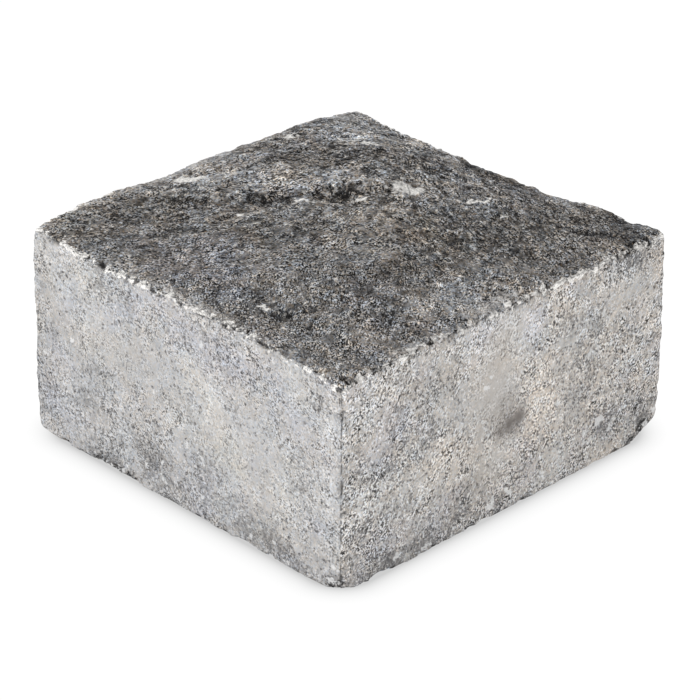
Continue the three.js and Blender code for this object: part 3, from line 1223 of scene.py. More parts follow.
class GraniteMaterial:
    """The granite material in the making. It reads the mesh's own numbers for each point."""

    def __init__(self, finish: GraniteFinish) -> None:
        """Starts an empty material with its shader groups, and reads what all of its parts share.

        Args:
            finish: the granite's colours and measures.
        """
        self.finish = finish
        self.material = bpy.data.materials.new("granite")
        self.material.use_nodes = True
        self.wire = wire = Wire(self.material.node_tree)
        self.tones, self.patches, self.ledges, self.specks = tone_group(), patch_group(), ledge_group(), speck_group()
        self.plain = wire.put("TexCoord")["Object"]
        self.coarse, self.pocked, self.calm, self.washed = map(wire.attribute, ("coarse", "pocked", "calm", "washed"))
        self.tone, self.behind, self.from_arris = map(wire.attribute, ("tone", "behind", "from_arris"))
        self.low_down = wire.put("SeparateXYZ", {0: self.plain})[2].eased(*finish.darker_at_foot)
        self.gathered = finish.gathers.of(wire.cloud(self.plain, finish.gathering)) + self.low_down

    def use(self, group: bpy.types.NodeTree, values: dict[str, object]) -> Outputs:
        """Places a group with its values set."""
        return self.wire.put("Group", values, node_tree=group)

    def toned(
        self, where: Value, grain: Grain, crispness: Value, less: Value, amounts: tuple[object, ...]
    ) -> tuple[Value, Value]:
        """One kind of surface's own tone.

        Args:
            where: the places to read the pattern at.
            grain: the kind of surface.
            crispness: how strong its finest layers are.
            less: what is taken off the shade.
            amounts: how far each layer moves the shade.

        Returns:
            The tinted reflectance, and the grain that goes with it.
        """
        values = {f"Amount {n + 1}": amount for n, amount in enumerate(amounts)}
        values |= {"Vector": where, "Shift": grain.shift, "Crispness": crispness, "Cap": grain.cap}
        layered = self.use(self.tones, values)
        shade = (layered["Tone"] + grain.shade - less).at_least(self.finish.darkest)
        return self.wire.tinted(shade.maths("POWER", self.finish.shade_power), grain.tint), layered["Grain"]

    def patch(self, where: Value, patches: Patches, lean: object = 0.0) -> Value:
        """The mask of some patches, which gather where lean is high."""
        values = {"Vector": where, "Per metre": 1 / (patches.wave * MM), "Detail": patches.detail, "Lean": lean}
        return self.use(self.patches, {**values, "Level": patches.level, "Blur": patches.blur})["Mask"]

    def speckled(self, where: Value, specks: Specks, share: Value | None = None) -> Value:
        """The mask of some specks.

        Args:
            where: the places to read the pattern at.
            specks: the specks.
            share: how many cells have one, if it isn't as the specks' cloud says.

        Returns:
            The mask.
        """
        share = share or self.wire.cloud(self.plain, specks.share)
        values = {"Vector": where, "Per metre": 1 / (specks.cell * MM), "Share": share, "Size": specks.size}
        return self.use(self.specks, values)["Mask"]

    def hued(self, where: Value, ground: Value, hues: Hues, depth: object) -> Value:
        """A colour made greyer where it is bright, with warm and cool stains, grains and drifts all over.

        Args:
            where: the places to read the stains' pattern at.
            ground: the colour.
            hues: what goes over it.
            depth: how strong the drifts are, from 0 to 1.

        Returns:
            The colour with its hues.
        """
        f, wire = self.finish, self.wire
        grey = wire.put("RGBToBW", {0: ground})[0]
        ground = wire.mix(grey.eased(*hues.paling), ground, wire.tinted(grey, f.pale_hue))
        brown = wire.mix(self.coarse, f.cream_stain, f.warm_stain)
        hue = wire.attribute("hue")
        stains = ((hues.warm_stains, f.stain_lean, brown), (hues.cool_stains, -f.stain_lean, f.cool_stain))
        for patches, lean, stain in stains:
            ground = wire.mix(self.patch(where, patches, hue * lean), ground, wire.tinted(ground, stain))
        ground = wire.tinted(ground, wire.mix(wire.cloud(self.plain, hues.grains), hues.warm, hues.cool))
        drift = wire.mix(wire.cloud(self.plain, f.drifts), f.warm_drift, f.cool_drift)
        return wire.mix(depth, ground, drift, "MULTIPLY")

    def walls(self) -> tuple[Value, Value]:
        """The hewn walls: two grains, mica and pores, pale blooms, washed places and the dark mark.

        Returns:
            Their colour and their relief.
        """
        f, wire, plain = self.finish, self.wire, self.plain
        crispness = wire.cloud(plain, f.wall_contrast) * f.contrast_calm.of(self.calm)
        crispness = crispness * wire.cloud(plain, f.wall_mottle) * f.contrast_pocked.of(self.pocked)
        less = self.pocked * f.pocked_darkens + (self.low_down - self.tone)
        (smooth, smooth_grain), (coarse, coarse_grain) = (
            self.toned(wire.turned(plain, grain.turn, grain.stretch), grain, crispness, less, grain.amounts)
            for grain in (f.smooth, f.coarse)
        )
        colour = self.hued(plain, wire.mix(self.coarse, smooth, coarse), f.wall_hues, f.wall_drift.of(self.coarse))
        colour = wire.mix(self.washed * f.washed_share, colour, f.washed)
        lean = self.washed * f.pock_washed + (self.pocked * f.pock_pocked + self.gathered)
        share = self.pocked * f.mica_pocked + (wire.cloud(plain, f.mica_specks.share) + self.low_down)
        specks = self.speckled(plain, f.mica_specks, share.eased(*f.mica_shares))
        pocks = self.patch(plain, f.large_pocks, lean) * f.large_pocks_pocked.of(self.pocked)
        pocks = pocks.at_least(self.patch(plain, f.small_pocks, lean) * f.small_pocks_coarse.of(self.coarse))
        pocks = pocks.at_least(specks * f.mica_washed.of(self.washed))
        colour = wire.mix(pocks, colour, wire.mix(wire.cloud(plain, f.mica_dulled), f.mica, f.dull))
        blooms = self.patch(plain, f.blooms, self.pocked * f.bloom_pocked) * f.bloom_share
        whites = self.speckled(plain, f.white_specks) * f.white_coarse.of(self.coarse)
        colour = wire.mix(blooms.at_least(whites), colour, f.bloom)
        colour = wire.mix(wire.attribute("dark_mark").maths("MINIMUM", 1.0), colour, f.dark_mark)
        relief = wire.blend(self.coarse, smooth_grain, coarse_grain) * f.relief_coarse.of(self.coarse)
        return colour, wire.blend(self.washed, relief + pocks * f.pock_relief, 0.0)

    def top(self, bearings: tuple[float, float, float]) -> tuple[Value, Value, Value, Value]:
        """The riven top: a dark, streaked grain, ledges with a painted crease shade and lip highlight, pores and holes
        painted as shadow, flecks, rust and pale bruises. Its high points are painted lighter and its hollows darker.

        Args:
            bearings: which way the grain runs, left of the spur, right of it and in front, in degrees.

        Returns:
            Its colour, its relief, its grain, and the colour of its crumbs.
        """
        f, wire, plain = self.finish, self.wire, self.plain
        left, right, front = (wire.turned(plain, (0, 0, bearing), f.riven.stretch) for bearing in bearings)
        where = wire.mix(wire.attribute("right_of_spur").maths("GREATER_THAN", 0.5), left, right)
        where = wire.mix(wire.attribute("ahead").maths("GREATER_THAN", 0.5), where, front)
        # painted light on the relief's high points and painted shade in its hollows
        less = wire.attribute("fine_height") * -f.fine_height_painted_shading + wire.attribute("height") * -f.height_painted_shading
        crispness = wire.cloud(plain, f.top_contrast) * f.top_contrast_calm.of(self.calm)
        crispness = crispness * wire.cloud(plain, f.top_mottle)
        stronger = self.behind.eased(*f.layers_behind)
        amounts = f.riven.amounts
        amounts = (*amounts[:FINE_LAYERS], *(stronger * amount for amount in amounts[FINE_LAYERS:]))
        colour, grain = self.toned(where, f.riven, crispness, less - self.tone, amounts)
        ledges = {"Vector": wire.turned(where, (0, 0, 0), f.ledge_stretch), "Per metre": 1 / (f.ledge_wave * MM)}
        split = self.use(self.ledges, {**ledges, "Steps": f.ledge_steps})
        creased = (wire.cloud(plain, f.creasing) + self.behind).eased(*f.creased) * wire.cloud(plain, f.crease_parts)
        # painted highlight on the ledges' lips, then painted shade in their creases
        colour = wire.mix(split["Lip highlight"] * (creased * f.lip_highlight_share), colour, f.crumb)
        colour = wire.mix(split["Crease shade"] * creased, colour, f.crevice_shadow)
        colour = self.hued(where, colour, f.top_hues, 1.0)
        # pores painted as shadow
        colour = wire.mix(self.speckled(where, f.pores) * f.pore_share, colour, f.crevice_shadow)
        colour = wire.mix(self.speckled(where, f.flecks) * f.fleck_share, colour, f.crumb)
        colour = wire.mix(self.patch(where, f.rusty) * f.rust_share, colour, f.rust)
        # holes painted as shadow
        colour = wire.mix(self.patch(where, f.holes, self.gathered) * f.hole_share, colour, f.crevice_shadow)
        crumb = wire.tinted(f.crumb, wire.cloud(plain, f.crumb_light).eased(*f.crumb_tone))
        bruised = (wire.attribute("bruise") + grain).eased(*f.bruise_rim)
        colour = wire.mix(bruised * f.bruise_share, colour, crumb)
        return colour, split["Height"] * f.ledge_relief + grain, grain, crumb

    def build(self, bearings: tuple[float, float, float]) -> bpy.types.Material:
        """Joins the walls and the top at a ragged arris, with seams, gaps and pits painted in crevice shadow, and
        crumbs brightened by a painted highlight.

        Args:
            bearings: which way the top's grain runs, left of the spur, right of it and in front, in degrees.

        Returns:
            The material.
        """
        f, wire, plain = self.finish, self.wire, self.plain
        walls, wall_relief = self.walls()
        top, top_relief, grain, crumb = self.top(bearings)
        edge = self.from_arris + f.arris_wanders.of(wire.cloud(plain, f.arris_ragged))
        riven = edge.eased(*f.arris_rim).maths("MAXIMUM", wire.attribute("broken"), clamp=True)
        worn = (wire.attribute("worn") + grain).eased(*f.worn_rim) * f.worn_share
        colour = wire.mix(riven, walls, wire.mix(worn, top, walls))
        # seams and gaps painted as crevice shadow
        seam = wire.attribute("from_upright").eased(*f.seam) * self.patch(plain, f.seam_parts)
        gaps = wire.attribute("gap").at_least(seam * f.seam_share)
        colour = wire.mix(gaps * f.gap_share, colour, f.crevice_shadow)
        beside = (self.from_arris + f.arris_middle).maths("ABSOLUTE").eased(*f.beside_arris)
        beside = beside * wire.maths("SUBTRACT", 1.0, self.calm)
        starts = beside.eased(*f.starts_beside)
        crumbs = (wire.attribute("crumb") + grain).eased(*f.crumb_rim)
        crumbs = crumbs.at_least(self.patch(plain, f.crumbs, beside * f.crumb_beside) * starts)
        # pale crumbs, brightened further as a painted highlight
        colour = wire.mix(crumbs, colour, wire.tinted(crumb, f.crumb_highlight))
        # pits and broken places painted as crevice shadow
        sunken = (grain * f.pit_grain + wire.attribute("pit")).eased(*f.pit_rim)
        sunken = sunken.at_least(self.patch(plain, f.broken, beside * f.broken_beside) * starts)
        colour = wire.mix(sunken * wire.cloud(plain, f.pit_parts), colour, f.crevice_shadow)
        height = wire.blend(riven, wall_relief, top_relief)
        bump = wire.put("Bump", {"Height": height, "Strength": 1.0, "Distance": f.bump})[0]
        shader = wire.put("BsdfPrincipled", {"Base Color": colour, "Roughness": f.roughness, "Normal": bump})
        shader.node.inputs["Specular IOR Level"].default_value = f.shine
        wire.put("OutputMaterial", {"Surface": shader[0]})
        return self.material


@dataclass(frozen=True)
class PaleFloorFinish:
    """An evenly glowing white sweep with a painted soft shadow close round the foot of the stone."""

    half: tuple[float, float] = (100.5, 103.0)
    corner_radius: float = 18.0
    glow: float = 1.03
    # how deep the painted shadow round the foot is
    shade: float = 0.42
    fades_over: float = 5.0

    def build(self) -> bpy.types.Material:
        """Makes the material: the painted shadow falls off as e to the power of minus the way from the foot over
        fades_over.

        Returns:
            The material.
        """
        material = bpy.data.materials.new("pale_floor")
        material.use_nodes = True
        wire = Wire(material.node_tree)
        place = wire.put("SeparateXYZ", {0: wire.put("TexCoord")["Object"]})
        straight = [(half - self.corner_radius) * MM for half in self.half]
        x, y = ((place[k].maths("ABSOLUTE") - half).at_least(0.0) for k, half in enumerate(straight))
        way = ((x * x + y * y).maths("SQRT") - self.corner_radius * MM).at_least(0.0)
        fall = (way / (-self.fades_over * MM)).maths("EXPONENT")
        inputs = {"Base Color": (0, 0, 0), "Roughness": 1.0, "Emission Color": (1, 1, 1)}
        shader = wire.put("BsdfPrincipled", {**inputs, "Emission Strength": fall * -self.shade + self.glow})
        shader.node.inputs["Specular IOR Level"].default_value = 0.0
        wire.put("OutputMaterial", {"Surface": shader[0]})
        return material


# ---------------------------------------------------------------------------------------------------------------
# The stone
# ---------------------------------------------------------------------------------------------------------------


@dataclass(frozen=True)
class Spot:
    """A soft oval place on the stone. Its reach is along its bearing, across it in plan, and up."""

    at: Point
    reach: Point
    strength: float
    bearing: float

    def over(self, p: Array) -> Array:
        """How strongly the spot covers each point."""
        away = turned(p - np.array(self.at), self.bearing) / np.array(self.reach)
        return self.strength * bell(np.linalg.norm(away, axis=1), 1)


def on_right(depth: float, *rows: tuple[float, ...]) -> tuple[Spot, ...]:
    """Spots on the right wall.

    Args:
        depth: their reach into the wall.
        rows: the y and z of each, its reach along the wall and up it, and its strength.

    Returns:
        The spots.
    """
    return tuple(Spot((101, y, z), (along, depth, up), strength, 90) for y, z, along, up, strength in rows)


def on_left(depth: float, *rows: tuple[float, ...]) -> tuple[Spot, ...]:
    """Spots on the left wall.

    Args:
        depth: their reach into the wall.
        rows: the x and z of each, its reach along the wall and up it, and its strength.

    Returns:
        The spots.
    """
    return tuple(Spot((x, -103, z), (along, depth, up), strength, 0) for x, z, along, up, strength in rows)


def on_top(up: float, bearing: float, *rows: tuple[float, ...]) -> tuple[Spot, ...]:
    """Spots on the top or on an edge, which may be turned.

    Args:
        up: their reach upwards.
        bearing: which way their length runs.
        rows: the x, y and z of each, its reach along the bearing and across it, and its strength.

    Returns:
        The spots.
    """
    return tuple(Spot((x, y, z), (along, across, up), power, bearing) for x, y, z, along, across, power in rows)


def covered(p: Array, spots: tuple[Spot, ...]) -> Array:
    """How strongly the strongest of some spots covers each point."""
    return np.max([spot.over(p) for spot in spots], axis=0)


def summed(p: Array, spots: tuple[Spot, ...]) -> Array:
    """How strongly some spots cover each point together."""
    return sum(spot.over(p) for spot in spots)


@dataclass(frozen=True)
class Splitting:
    """The riven top's fine relief: crystal faces of three sizes, and ledges that run off to both sides of a spur."""

    faces: Waves = ((0.6, 8), (0.45, 3.8), (0.3, 2.0))
    face_tilt: float = 0.9
    seed: int = 51
    spur: tuple[float, float] = (2, 31)
    spur_wanders: Rough = Rough(63, ((7, 16),))
    spur_width: Ramp = Ramp(-7, 7)
    front_wanders: Rough = Rough(64, ((9, 16),))
    front: Ramp = Ramp(40, 54)
    ledge_bearings: tuple[float, float] = (109, -22)  # left of the spur and right of it
    ledge_size: Point = (16, 5, 8)
    ledge_steps: Rough = Rough(61, ((1.5, 1), (0.5, 0.5)))
    ledge_height: float = 0.5
    ledge_rise: Ramp = Ramp(0, 0.5)
    ledge_grain: Rough = Rough(63, ((0.25, 0.5),))
    left_ledges: Line = Line(0.7, 0.3)  # by how near they are to a line across the top
    left_line: float = 20  # what x and y add up to there
    left_reach: float = 60
    strength: float = 0.7
    stronger_behind: Ramp = Ramp(-70, 60, 0.0, 0.32)
    stronger_round: Swell = Swell(-8, 38, 42, 0.45)
    weaker_back: Ramp = Ramp(86, 101)
    weaker_left: Ramp = Ramp(84, 98)
    weaker_by: float = 0.6
    pit_depth: float = 1.7

    def right_of_spur(self, p: Array) -> Array:
        """1 on the right of the spur from the peak to the front corner and 0 on its left, over a wandering line."""
        along = (p[:, 0] - self.spur[0] + p[:, 1] - self.spur[1]) * HALF_ROOT
        return self.spur_width.of(along + self.spur_wanders.at(p))

    def ahead(self, p: Array) -> Array:
        """1 in front, towards the front corner, and 0 behind, over a wandering line."""
        return self.front.of((p[:, 0] - p[:, 1]) * HALF_ROOT + self.front_wanders.at(p))

    def ledges(self, p: Array, bearing: float) -> Array:
        """The relief of long, narrow ledges that run along a bearing.

        Args:
            p: points, as rows of three.
            bearing: which way they run.

        Returns:
            Millimetres outwards.
        """
        place = turned(p, bearing) / np.array(self.ledge_size)
        steps = self.ledge_steps.at(place)
        whole = np.floor(steps)
        return self.ledge_height * (whole + self.ledge_rise.of(steps - whole)) + self.ledge_grain.at(place)

    def at(self, p: Array, pits: Array) -> Array:
        """How far the top is pushed out, if all of the surface were riven.

        Args:
            p: points, as rows of three.
            pits: how strongly the pits cover each point.

        Returns:
            Millimetres outwards.
        """
        x, y = p[:, 0], p[:, 1]
        sizes = enumerate(self.faces)
        faces = sum(height * crystal_faces(p, size, self.face_tilt, self.seed + n) for n, (height, size) in sizes)
        left, right = (self.ledges(p, bearing) for bearing in self.ledge_bearings)
        left *= self.left_ledges.of(bell((x + y - self.left_line) * HALF_ROOT, self.left_reach))
        strength = self.strength + self.stronger_behind.of(y - x) + self.stronger_round.at(x, y)
        strength *= 1 - self.weaker_by * np.maximum(self.weaker_back.of(y), self.weaker_left.of(-x))
        return strength * (faces + left + (right - left) * self.right_of_spur(p)) - self.pit_depth * pits


@dataclass(frozen=True)
class Hewing:
    """The walls' fine relief: shallow grain and pecked pits, deeper where the wall is coarser."""

    grain: Rough = Rough(71, octaves(3.6, 2, 0.8))
    grain_height: Line = Line(0.15, 0.08)
    pecks: Rough = Rough(75, ((1, 4.6), (0.3, 15)))
    peck_rim: Ramp = Ramp(0.34, 0.62)
    peck_depth: Line = Line(0.22, 0.25)

    def at(self, p: Array, coarse: Array) -> Array:
        """Millimetres outwards at each point."""
        pecked = self.peck_rim.of(self.pecks.at(p))
        return self.grain_height.of(coarse) * self.grain.at(p) - self.peck_depth.of(coarse) * pecked


@dataclass(frozen=True)
class Crumbling:
    """How the edges crumble: nibbled away, with pale crumbs left standing and gaps between them, which the material
    paints as dark shade.
    """

    pattern: Rough = Rough(85, ((1, 3.4), (0.6, 11), (0.45, 1.7)))
    arris: tuple[float, float] = (-0.7, 1.9)  # its middle, from the arris, and its reach
    upright: float = 1.3  # reach
    upright_starts: Ramp = Ramp(1, 4)  # down from the arris
    foot: float = 1.8  # reach
    less_there: float = 0.8
    more_at_rims: float = 0.4
    less_where_calm: float = 0.32
    crumb_rim: Ramp = Ramp(0.12, 0.42)
    gap_rim: Ramp = Ramp(0.14, 0.4)
    crumb_height: float = 0.7
    gap_depth: float = 1.1
    gnawing: Rough = Rough(81, octaves(6, 3, 0.75))
    gnawed: Ramp = Ramp(0.0, 0.5)
    nibbled_arris: tuple[float, float] = (0.7, 2.2)  # depth and reach
    nibbled_upright: tuple[float, float] = (0.6, 1.6)
    nibbled_foot: tuple[float, float] = (0.9, 3)

    def crumbs_and_gaps(self, p: Array, from_arris: Array, net: Lattice, more: Array) -> tuple[Array, Array]:
        """How much each point belongs to a crumb left standing on the arris, and to a gap between crumbs.

        Args:
            p: points, as rows of three.
            from_arris: the way from the arris, shifted where it wanders.
            net: the block's lattice.
            more: how much more of the crumbs there are.

        Returns:
            Crumbs and gaps, from 0 to 1.
        """
        pattern = self.pattern.at(p)
        middle, reach = self.arris
        near_arris = bell(from_arris - middle, reach)
        near_upright = self.less_there * bell(net.from_upright, self.upright) * self.upright_starts.of(-net.from_arris)
        near = np.where(net.bed, 0, np.maximum(near_arris, near_upright))
        near = np.maximum(near, self.less_there * bell(net.from_foot, self.foot))
        return near_arris * self.crumb_rim.of(pattern + more), near * self.gap_rim.of(-pattern)

    def nibbled(self, p: Array, net: Lattice, on_top: Array) -> Array:
        """How far the edges are gnawed away.

        Args:
            p: points, as rows of three.
            net: the block's lattice.
            on_top: 1 on the top and 0 on the walls.

        Returns:
            Millimetres inwards.
        """
        edges = (self.nibbled_arris, self.nibbled_upright, self.nibbled_foot)
        ways = (net.from_arris, net.from_upright, net.from_foot)
        arris, upright, foot = (depth * bell(way, reach) for (depth, reach), way in zip(edges, ways))
        return (arris + upright * (1 - on_top) + foot) * self.gnawed.of(self.gnawing.at(p))


@dataclass
class Cobblestone:
    """The whole stone: its fine surface and its granite."""

    shape: StoneShape = field(default_factory=StoneShape)
    splitting: Splitting = field(default_factory=Splitting)
    hewing: Hewing = field(default_factory=Hewing)
    crumbling: Crumbling = field(default_factory=Crumbling)
    finish: GraniteFinish = field(default_factory=GraniteFinish)
    name: str = "stone"
    grain_bearings: tuple[float, float, float] = (54, -12, -45)  # left of the spur, right of it and in front
    coarseness: tuple[tuple[Point, float], ...] = (  # by the way a wall faces
        ((1, 0, 0), 1.0),
        ((0, -1, 0), 0.12),
        ((-1, 0, 0), 0.75),
        ((0, 1, 0), 0.55),
    )
    top_starts: Ramp = Ramp(-0.5, 2.5)  # from the arris
    cut_is_riven: Ramp = Ramp(0.1, 0.8)  # how deep the flakes cut
    cut_looks_riven: Ramp = Ramp(0.15, 0.7)
    rim_rough: Rough = Rough(91, octaves(5, 3, 0.8, 0.9))
    rim: Ramp = Ramp(0.35, 0.8)
    rim_ends: Ramp = Ramp(0.05, 0.3)
    whole: Ramp = Ramp(0.1, 0.5, 0.0, 0.9)  # how far the whole arris closes the gaps
    behind_start: float = -0.04
    behind: tuple[Ramp, Ramp] = (Ramp(-80, 20, 0.0, 0.2), Ramp(0, 90, 0.0, 0.08))
    top_from_upright: float = 9  # added on the top, to keep the upright edges' seams off it
    fine_height: tuple[int, float] = (5, 0.35)  # rounds of smoothing, and the millimetres that count as 1
    height: tuple[int, float] = (60, 1.0)
    height_limit: float = 1.2
    bruises: tuple[Spot, ...] = (
        *on_top(20, 45,
            (1, 37, 115, 9, 4.6, 1.5), (31, 53, 112, 7, 2.6, 0.85), (-58, 66, 107, 11, 6, 0.72),
            (-9, 14, 113, 4, 1.6, 0.75), (-84, -21, 107, 9, 4, 0.75), (-90, 50, 104, 7, 3, 0.8),
            (-28, -7, 111, 7, 2, 0.65), (-38, -30, 109, 7, 2, 0.6), (49, 50, 112, 4, 2, 0.6),
        ),
        *on_top(20, 0, (29, -81, 107, 5, 2.5, 0.7)),
        *on_right(5, (68, 103, 6, 4, 0.7)),
    )
    pits: tuple[Spot, ...] = (
        *on_top(20, 45,
            (-19, 13, 112, 9, 5.5, 1.3), (-45, -14, 109, 8, 3, 0.95), (-52, -22, 109, 14, 1.4, 0.8),
            (-68, -40, 108, 5, 2.5, 0.8), (-84, -56, 107, 4, 2, 0.7), (40.6, -77, 106, 4, 4, 0.9),
            (76, -80, 105, 4, 3, 0.75), (87, -45, 107, 4, 2.5, 0.75), (-70, 37, 108, 5, 4, 0.8),
            (-42, 33, 112, 5, 3.5, 0.8), (49, -54, 110, 5, 5, 0.65), (79, 72, 107, 6, 3, 0.7),
        ),
        *on_right(6,
            (90, 102, 2.4, 4, 1.1), (80, 104.5, 5, 2.4, 1.0),
        ),
        *on_top(3.4, 90, (99.5, 93, 10, 2.4, 8, 1.2)),
        *on_top(3.2, 90, (98, 90, 7, 2.8, 8, 1.2)),
        *on_top(2.4, 90, (97, 85, 3.5, 4, 8, 1.1)),
        *on_left(6,
            (-57, 4, 4, 3.4, 1.25), (-38, 2, 9, 2.6, 1.25),
        ),
        *on_top(4, 0, (97, -102, 3, 4, 6, 1.0)),
        *on_top(20, -65, (54, -74.5, 107, 7, 0.9, 1.1)),
        *on_top(3, 45, (98, -99, 104, 2.6, 2.6, 1.3)),
    )
    rims: tuple[Spot, ...] = (
        *on_right(6,
            (44, 105, 36, 6, 1.0), (84, 105, 14, 6, 1.0), (-68, 106, 22, 6, 0.8),
        ),
        *on_left(6,
            (-82, 106, 20, 6, 0.8), (20, 106, 34, 6, 0.6), (78, 106, 14, 6, 0.5),
        ),
    )
    whole_arris: Spot = Spot((95, -8, 106), (20, 6, 12), 0.75, 90)
    worn: tuple[Spot, ...] = (
        whole_arris,
        *on_top(12, 90,
            (98, -62, 106, 16, 4, 0.7), (-98, -5, 106, 60, 6, 0.6), (-93, 88, 101, 14, 9, 0.6),
        ),
        *on_top(12, 0, (8, -100, 106, 55, 4.5, 0.6)),
    )
    # Signed shifts of the shade, summed. On the walls they are the stone's own tone; on the top they are partly its
    # tone and partly painted shade and light on the mound's facets and hollows.
    tones: tuple[Spot, ...] = (
        *on_right(6,
            (84, 12, 14, 11, -0.05), (-82, 27, 14, 12, 0.055), (-20, 21, 24, 10, -0.03),
            (82, 64, 12, 20, -0.03), (-40, 71, 16, 14, -0.025), (55, 30, 26, 22, -0.03),
            (60, 92, 30, 12, 0.03), (30, 62, 26, 20, 0.04), (-10, 96, 18, 10, 0.03), (-40, 22, 18, 14, -0.035),
            (-84, 84, 14, 16, 0.05), (-82, 68, 6, 8, 0.08), (-92, 42, 7, 10, 0.07), (10, 90, 12, 10, 0.07),
            (-14, 100, 10, 5, 0.06), (92, 68, 8, 16, 0.06),
        ),
        *on_top(30, 90,
            (-89, -77, 107, 14, 13, -0.055), (-86, -36, 107, 8, 9, -0.01), (-66, -39, 107, 16, 12, -0.04),
            (-74, -8, 107, 14, 10, 0.02), (88, 80, 107, 14, 11, -0.015), (-78, -8, 106, 27, 15, 0.2),
            (-65, 25, 108, 16, 9, -0.19), (-78, -46, 107, 16, 9, -0.05), (84, -21, 107, 20, 14, 0.05),
            (-86, -70, 106, 14, 10, -0.06), (78, 0, 106, 40, 12, 0.08),
        ),
        *on_top(30, 45,
            (60, -66, 107, 16, 14, -0.045), (84, -21, 107, 16, 14, 0.04), (19, -9, 110, 16, 16, 0.045),
            (-62, 67, 108, 14, 10, 0.14), (70, -80, 107, 18, 14, 0.045), (-28, -73, 107, 22, 16, 0.05),
            (15, 67, 109, 16, 10, 0.03), (-56, 24, 109, 16, 10, -0.08), (62, 66, 106, 34, 12, -0.12),
            (-26, 44, 110, 12, 7, -0.09), (-30, 62, 110, 24, 8, -0.05), (-60, -30, 108, 40, 14, -0.03),
            (45, -30, 106, 20, 20, -0.05), (71, 37, 107, 26, 17, -0.12), (-12, -32, 108, 24, 14, -0.042),
            (-60, 85, 106, 30, 14, 0.06), (-34, 46, 109, 20, 10, -0.09),
        ),
        *on_left(6,
            (-56, 34, 9, 9, -0.035), (-14, 20, 14, 9, -0.035), (58, 10, 16, 8, -0.03), (82, 92, 10, 12, -0.02),
            (-80, 60, 14, 30, -0.02), (-24, 62, 26, 30, -0.02), (82, 62, 10, 26, -0.02), (94, 82, 6, 10, 0.06),
            (8, 68, 18, 14, 0.05), (92, 50, 6, 14, 0.05), (34, 88, 18, 11, -0.055), (-96, 60, 9, 30, -0.03),
        ),
        *on_top(30, 0,
            (10, 92, 106, 30, 9, -0.08), (10, -94, 106, 60, 10, 0.06), (-78, -97, 106, 14, 12, 0.06),
        ),
        *on_right(8, (94, 9, 6, 8, -0.04)),
    )
    pocked: tuple[Spot, ...] = (
        *on_left(6,
            (96, 6, 8, 7, 1.2), (-47, 3, 16, 6, 1.2), (-22, 20, 10, 9, 1.0), (-4, 10, 18, 9, 0.8),
            (10, 30, 10, 12, 0.7), (58, 8, 14, 8, 0.9), (-64, 28, 10, 8, 0.6), (-96, 40, 7, 14, 0.8),
            (20, 86, 16, 12, 0.7), (46, 96, 16, 9, 0.7),
        ),
        *on_right(6,
            (92, 10, 10, 10, 1.3), (-74, 6, 14, 7, 1.1), (-46, 5, 14, 6, 0.9), (-6, 8, 12, 7, 0.9),
            (60, 20, 16, 9, 1.0), (-24, 14, 10, 8, 0.7), (-72, 30, 12, 9, 0.65), (-84, 90, 12, 14, 0.3),
            (58, 66, 7, 20, 0.8), (76, 97, 14, 7, 0.9), (-70, 58, 16, 14, 0.5),
        ),
    )
    hues: tuple[Spot, ...] = (  # warm where positive and cool where negative
        *on_right(9,
            (10, 14, 90, 14, -0.7), (-13, 96, 14, 9, -0.4), (-8, 72, 18, 22, 1.2), (-50, 46, 18, 14, 0.9),
            (-76, 66, 16, 16, -0.5), (44, 56, 28, 40, 1.1), (14, 92, 8, 10, -1.0), (-60, 16, 26, 9, -0.8),
        ),
        *on_left(9,
            (-54, 60, 26, 16, 0.35), (30, 86, 22, 16, -1.2), (-78, 58, 14, 20, -0.5), (46, 48, 34, 22, 0.4),
            (-80, 20, 24, 16, -0.3), (-12, 16, 26, 14, -0.25), (88, 30, 12, 24, -0.6),
        ),
        *on_top(30, 45,
            (-84, -80, 106, 34, 20, 2.0), (30, 10, 110, 22, 16, 0.9), (66, 28, 108, 30, 22, 0.9),
        ),
        *on_top(30, 0, (-28, -74, 106, 34, 18, -2.2)),
    )
    arris_shifts: tuple[Spot, ...] = (  # millimetres
        *on_left(9,
            (30, 106, 20, 9, -2.4), (-8, 106, 6, 9, -2.0),
        ),
        *on_top(9, 45, (100, -103, 104, 9, 9, 4.0)),
        *on_top(7, 45, (-95, -103, 105, 7, 7, -2.0)),
        *on_right(9, (91, 102, 3, 5, 3.0)),
    )
    dark_marks: tuple[Spot, ...] = (
        *on_right(6,
            (7, 46.5, 5.5, 5, 1.0), (1, 45, 6, 6, 1.0), (-4, 43.5, 5, 4.5, 0.8), (-2, 51, 11, 9, 0.45),
        ),
    )
    calm: tuple[Spot, ...] = (
        *on_right(9,
            (-20, 62, 26, 44, 1.0), (40, 56, 26, 26, 0.75), (-36, 22, 26, 18, 0.85),
        ),
        *on_top(12, 0,
            (-40, 103, 106, 70, 12, 1.0), (60, 103, 106, 50, 9, 0.8),
        ),
        *on_top(12, 90, (-100, 40, 106, 70, 9, 0.8)),
        *on_left(9,
            (60, 50, 26, 22, 0.5), (-40, 62, 26, 16, 0.5),
        ),
        *on_left(7, (76, 106, 26, 5, 0.9)),
        *on_left(8, (-97, 106, 12, 5, 0.7)),
    )
    washed: tuple[Spot, ...] = (
        *on_right(8,
            (-9, 68, 14, 20, 1.0), (-3, 92, 14, 10, 0.75), (-6, 30, 10, 12, 0.5),
        ),
        *on_left(8,
            (40, 45, 22, 16, 0.4), (-40, 66, 24, 14, 0.4),
        ),
    )

    def coarse(self, surface: Surface) -> Array:
        """How coarse each wall is, from 0 to 1: the share of its direction that each named wall takes, squared.

        Args:
            surface: the stone's surface.

        Returns:
            One value for each point.
        """
        n = surface.normals()
        shares = [np.maximum(n @ np.array(way), 0) ** 2 for way, _ in self.coarseness]
        total = np.maximum(sum(shares), 1e-6)
        return sum(amount * share for (_, amount), share in zip(self.coarseness, shares)) / total

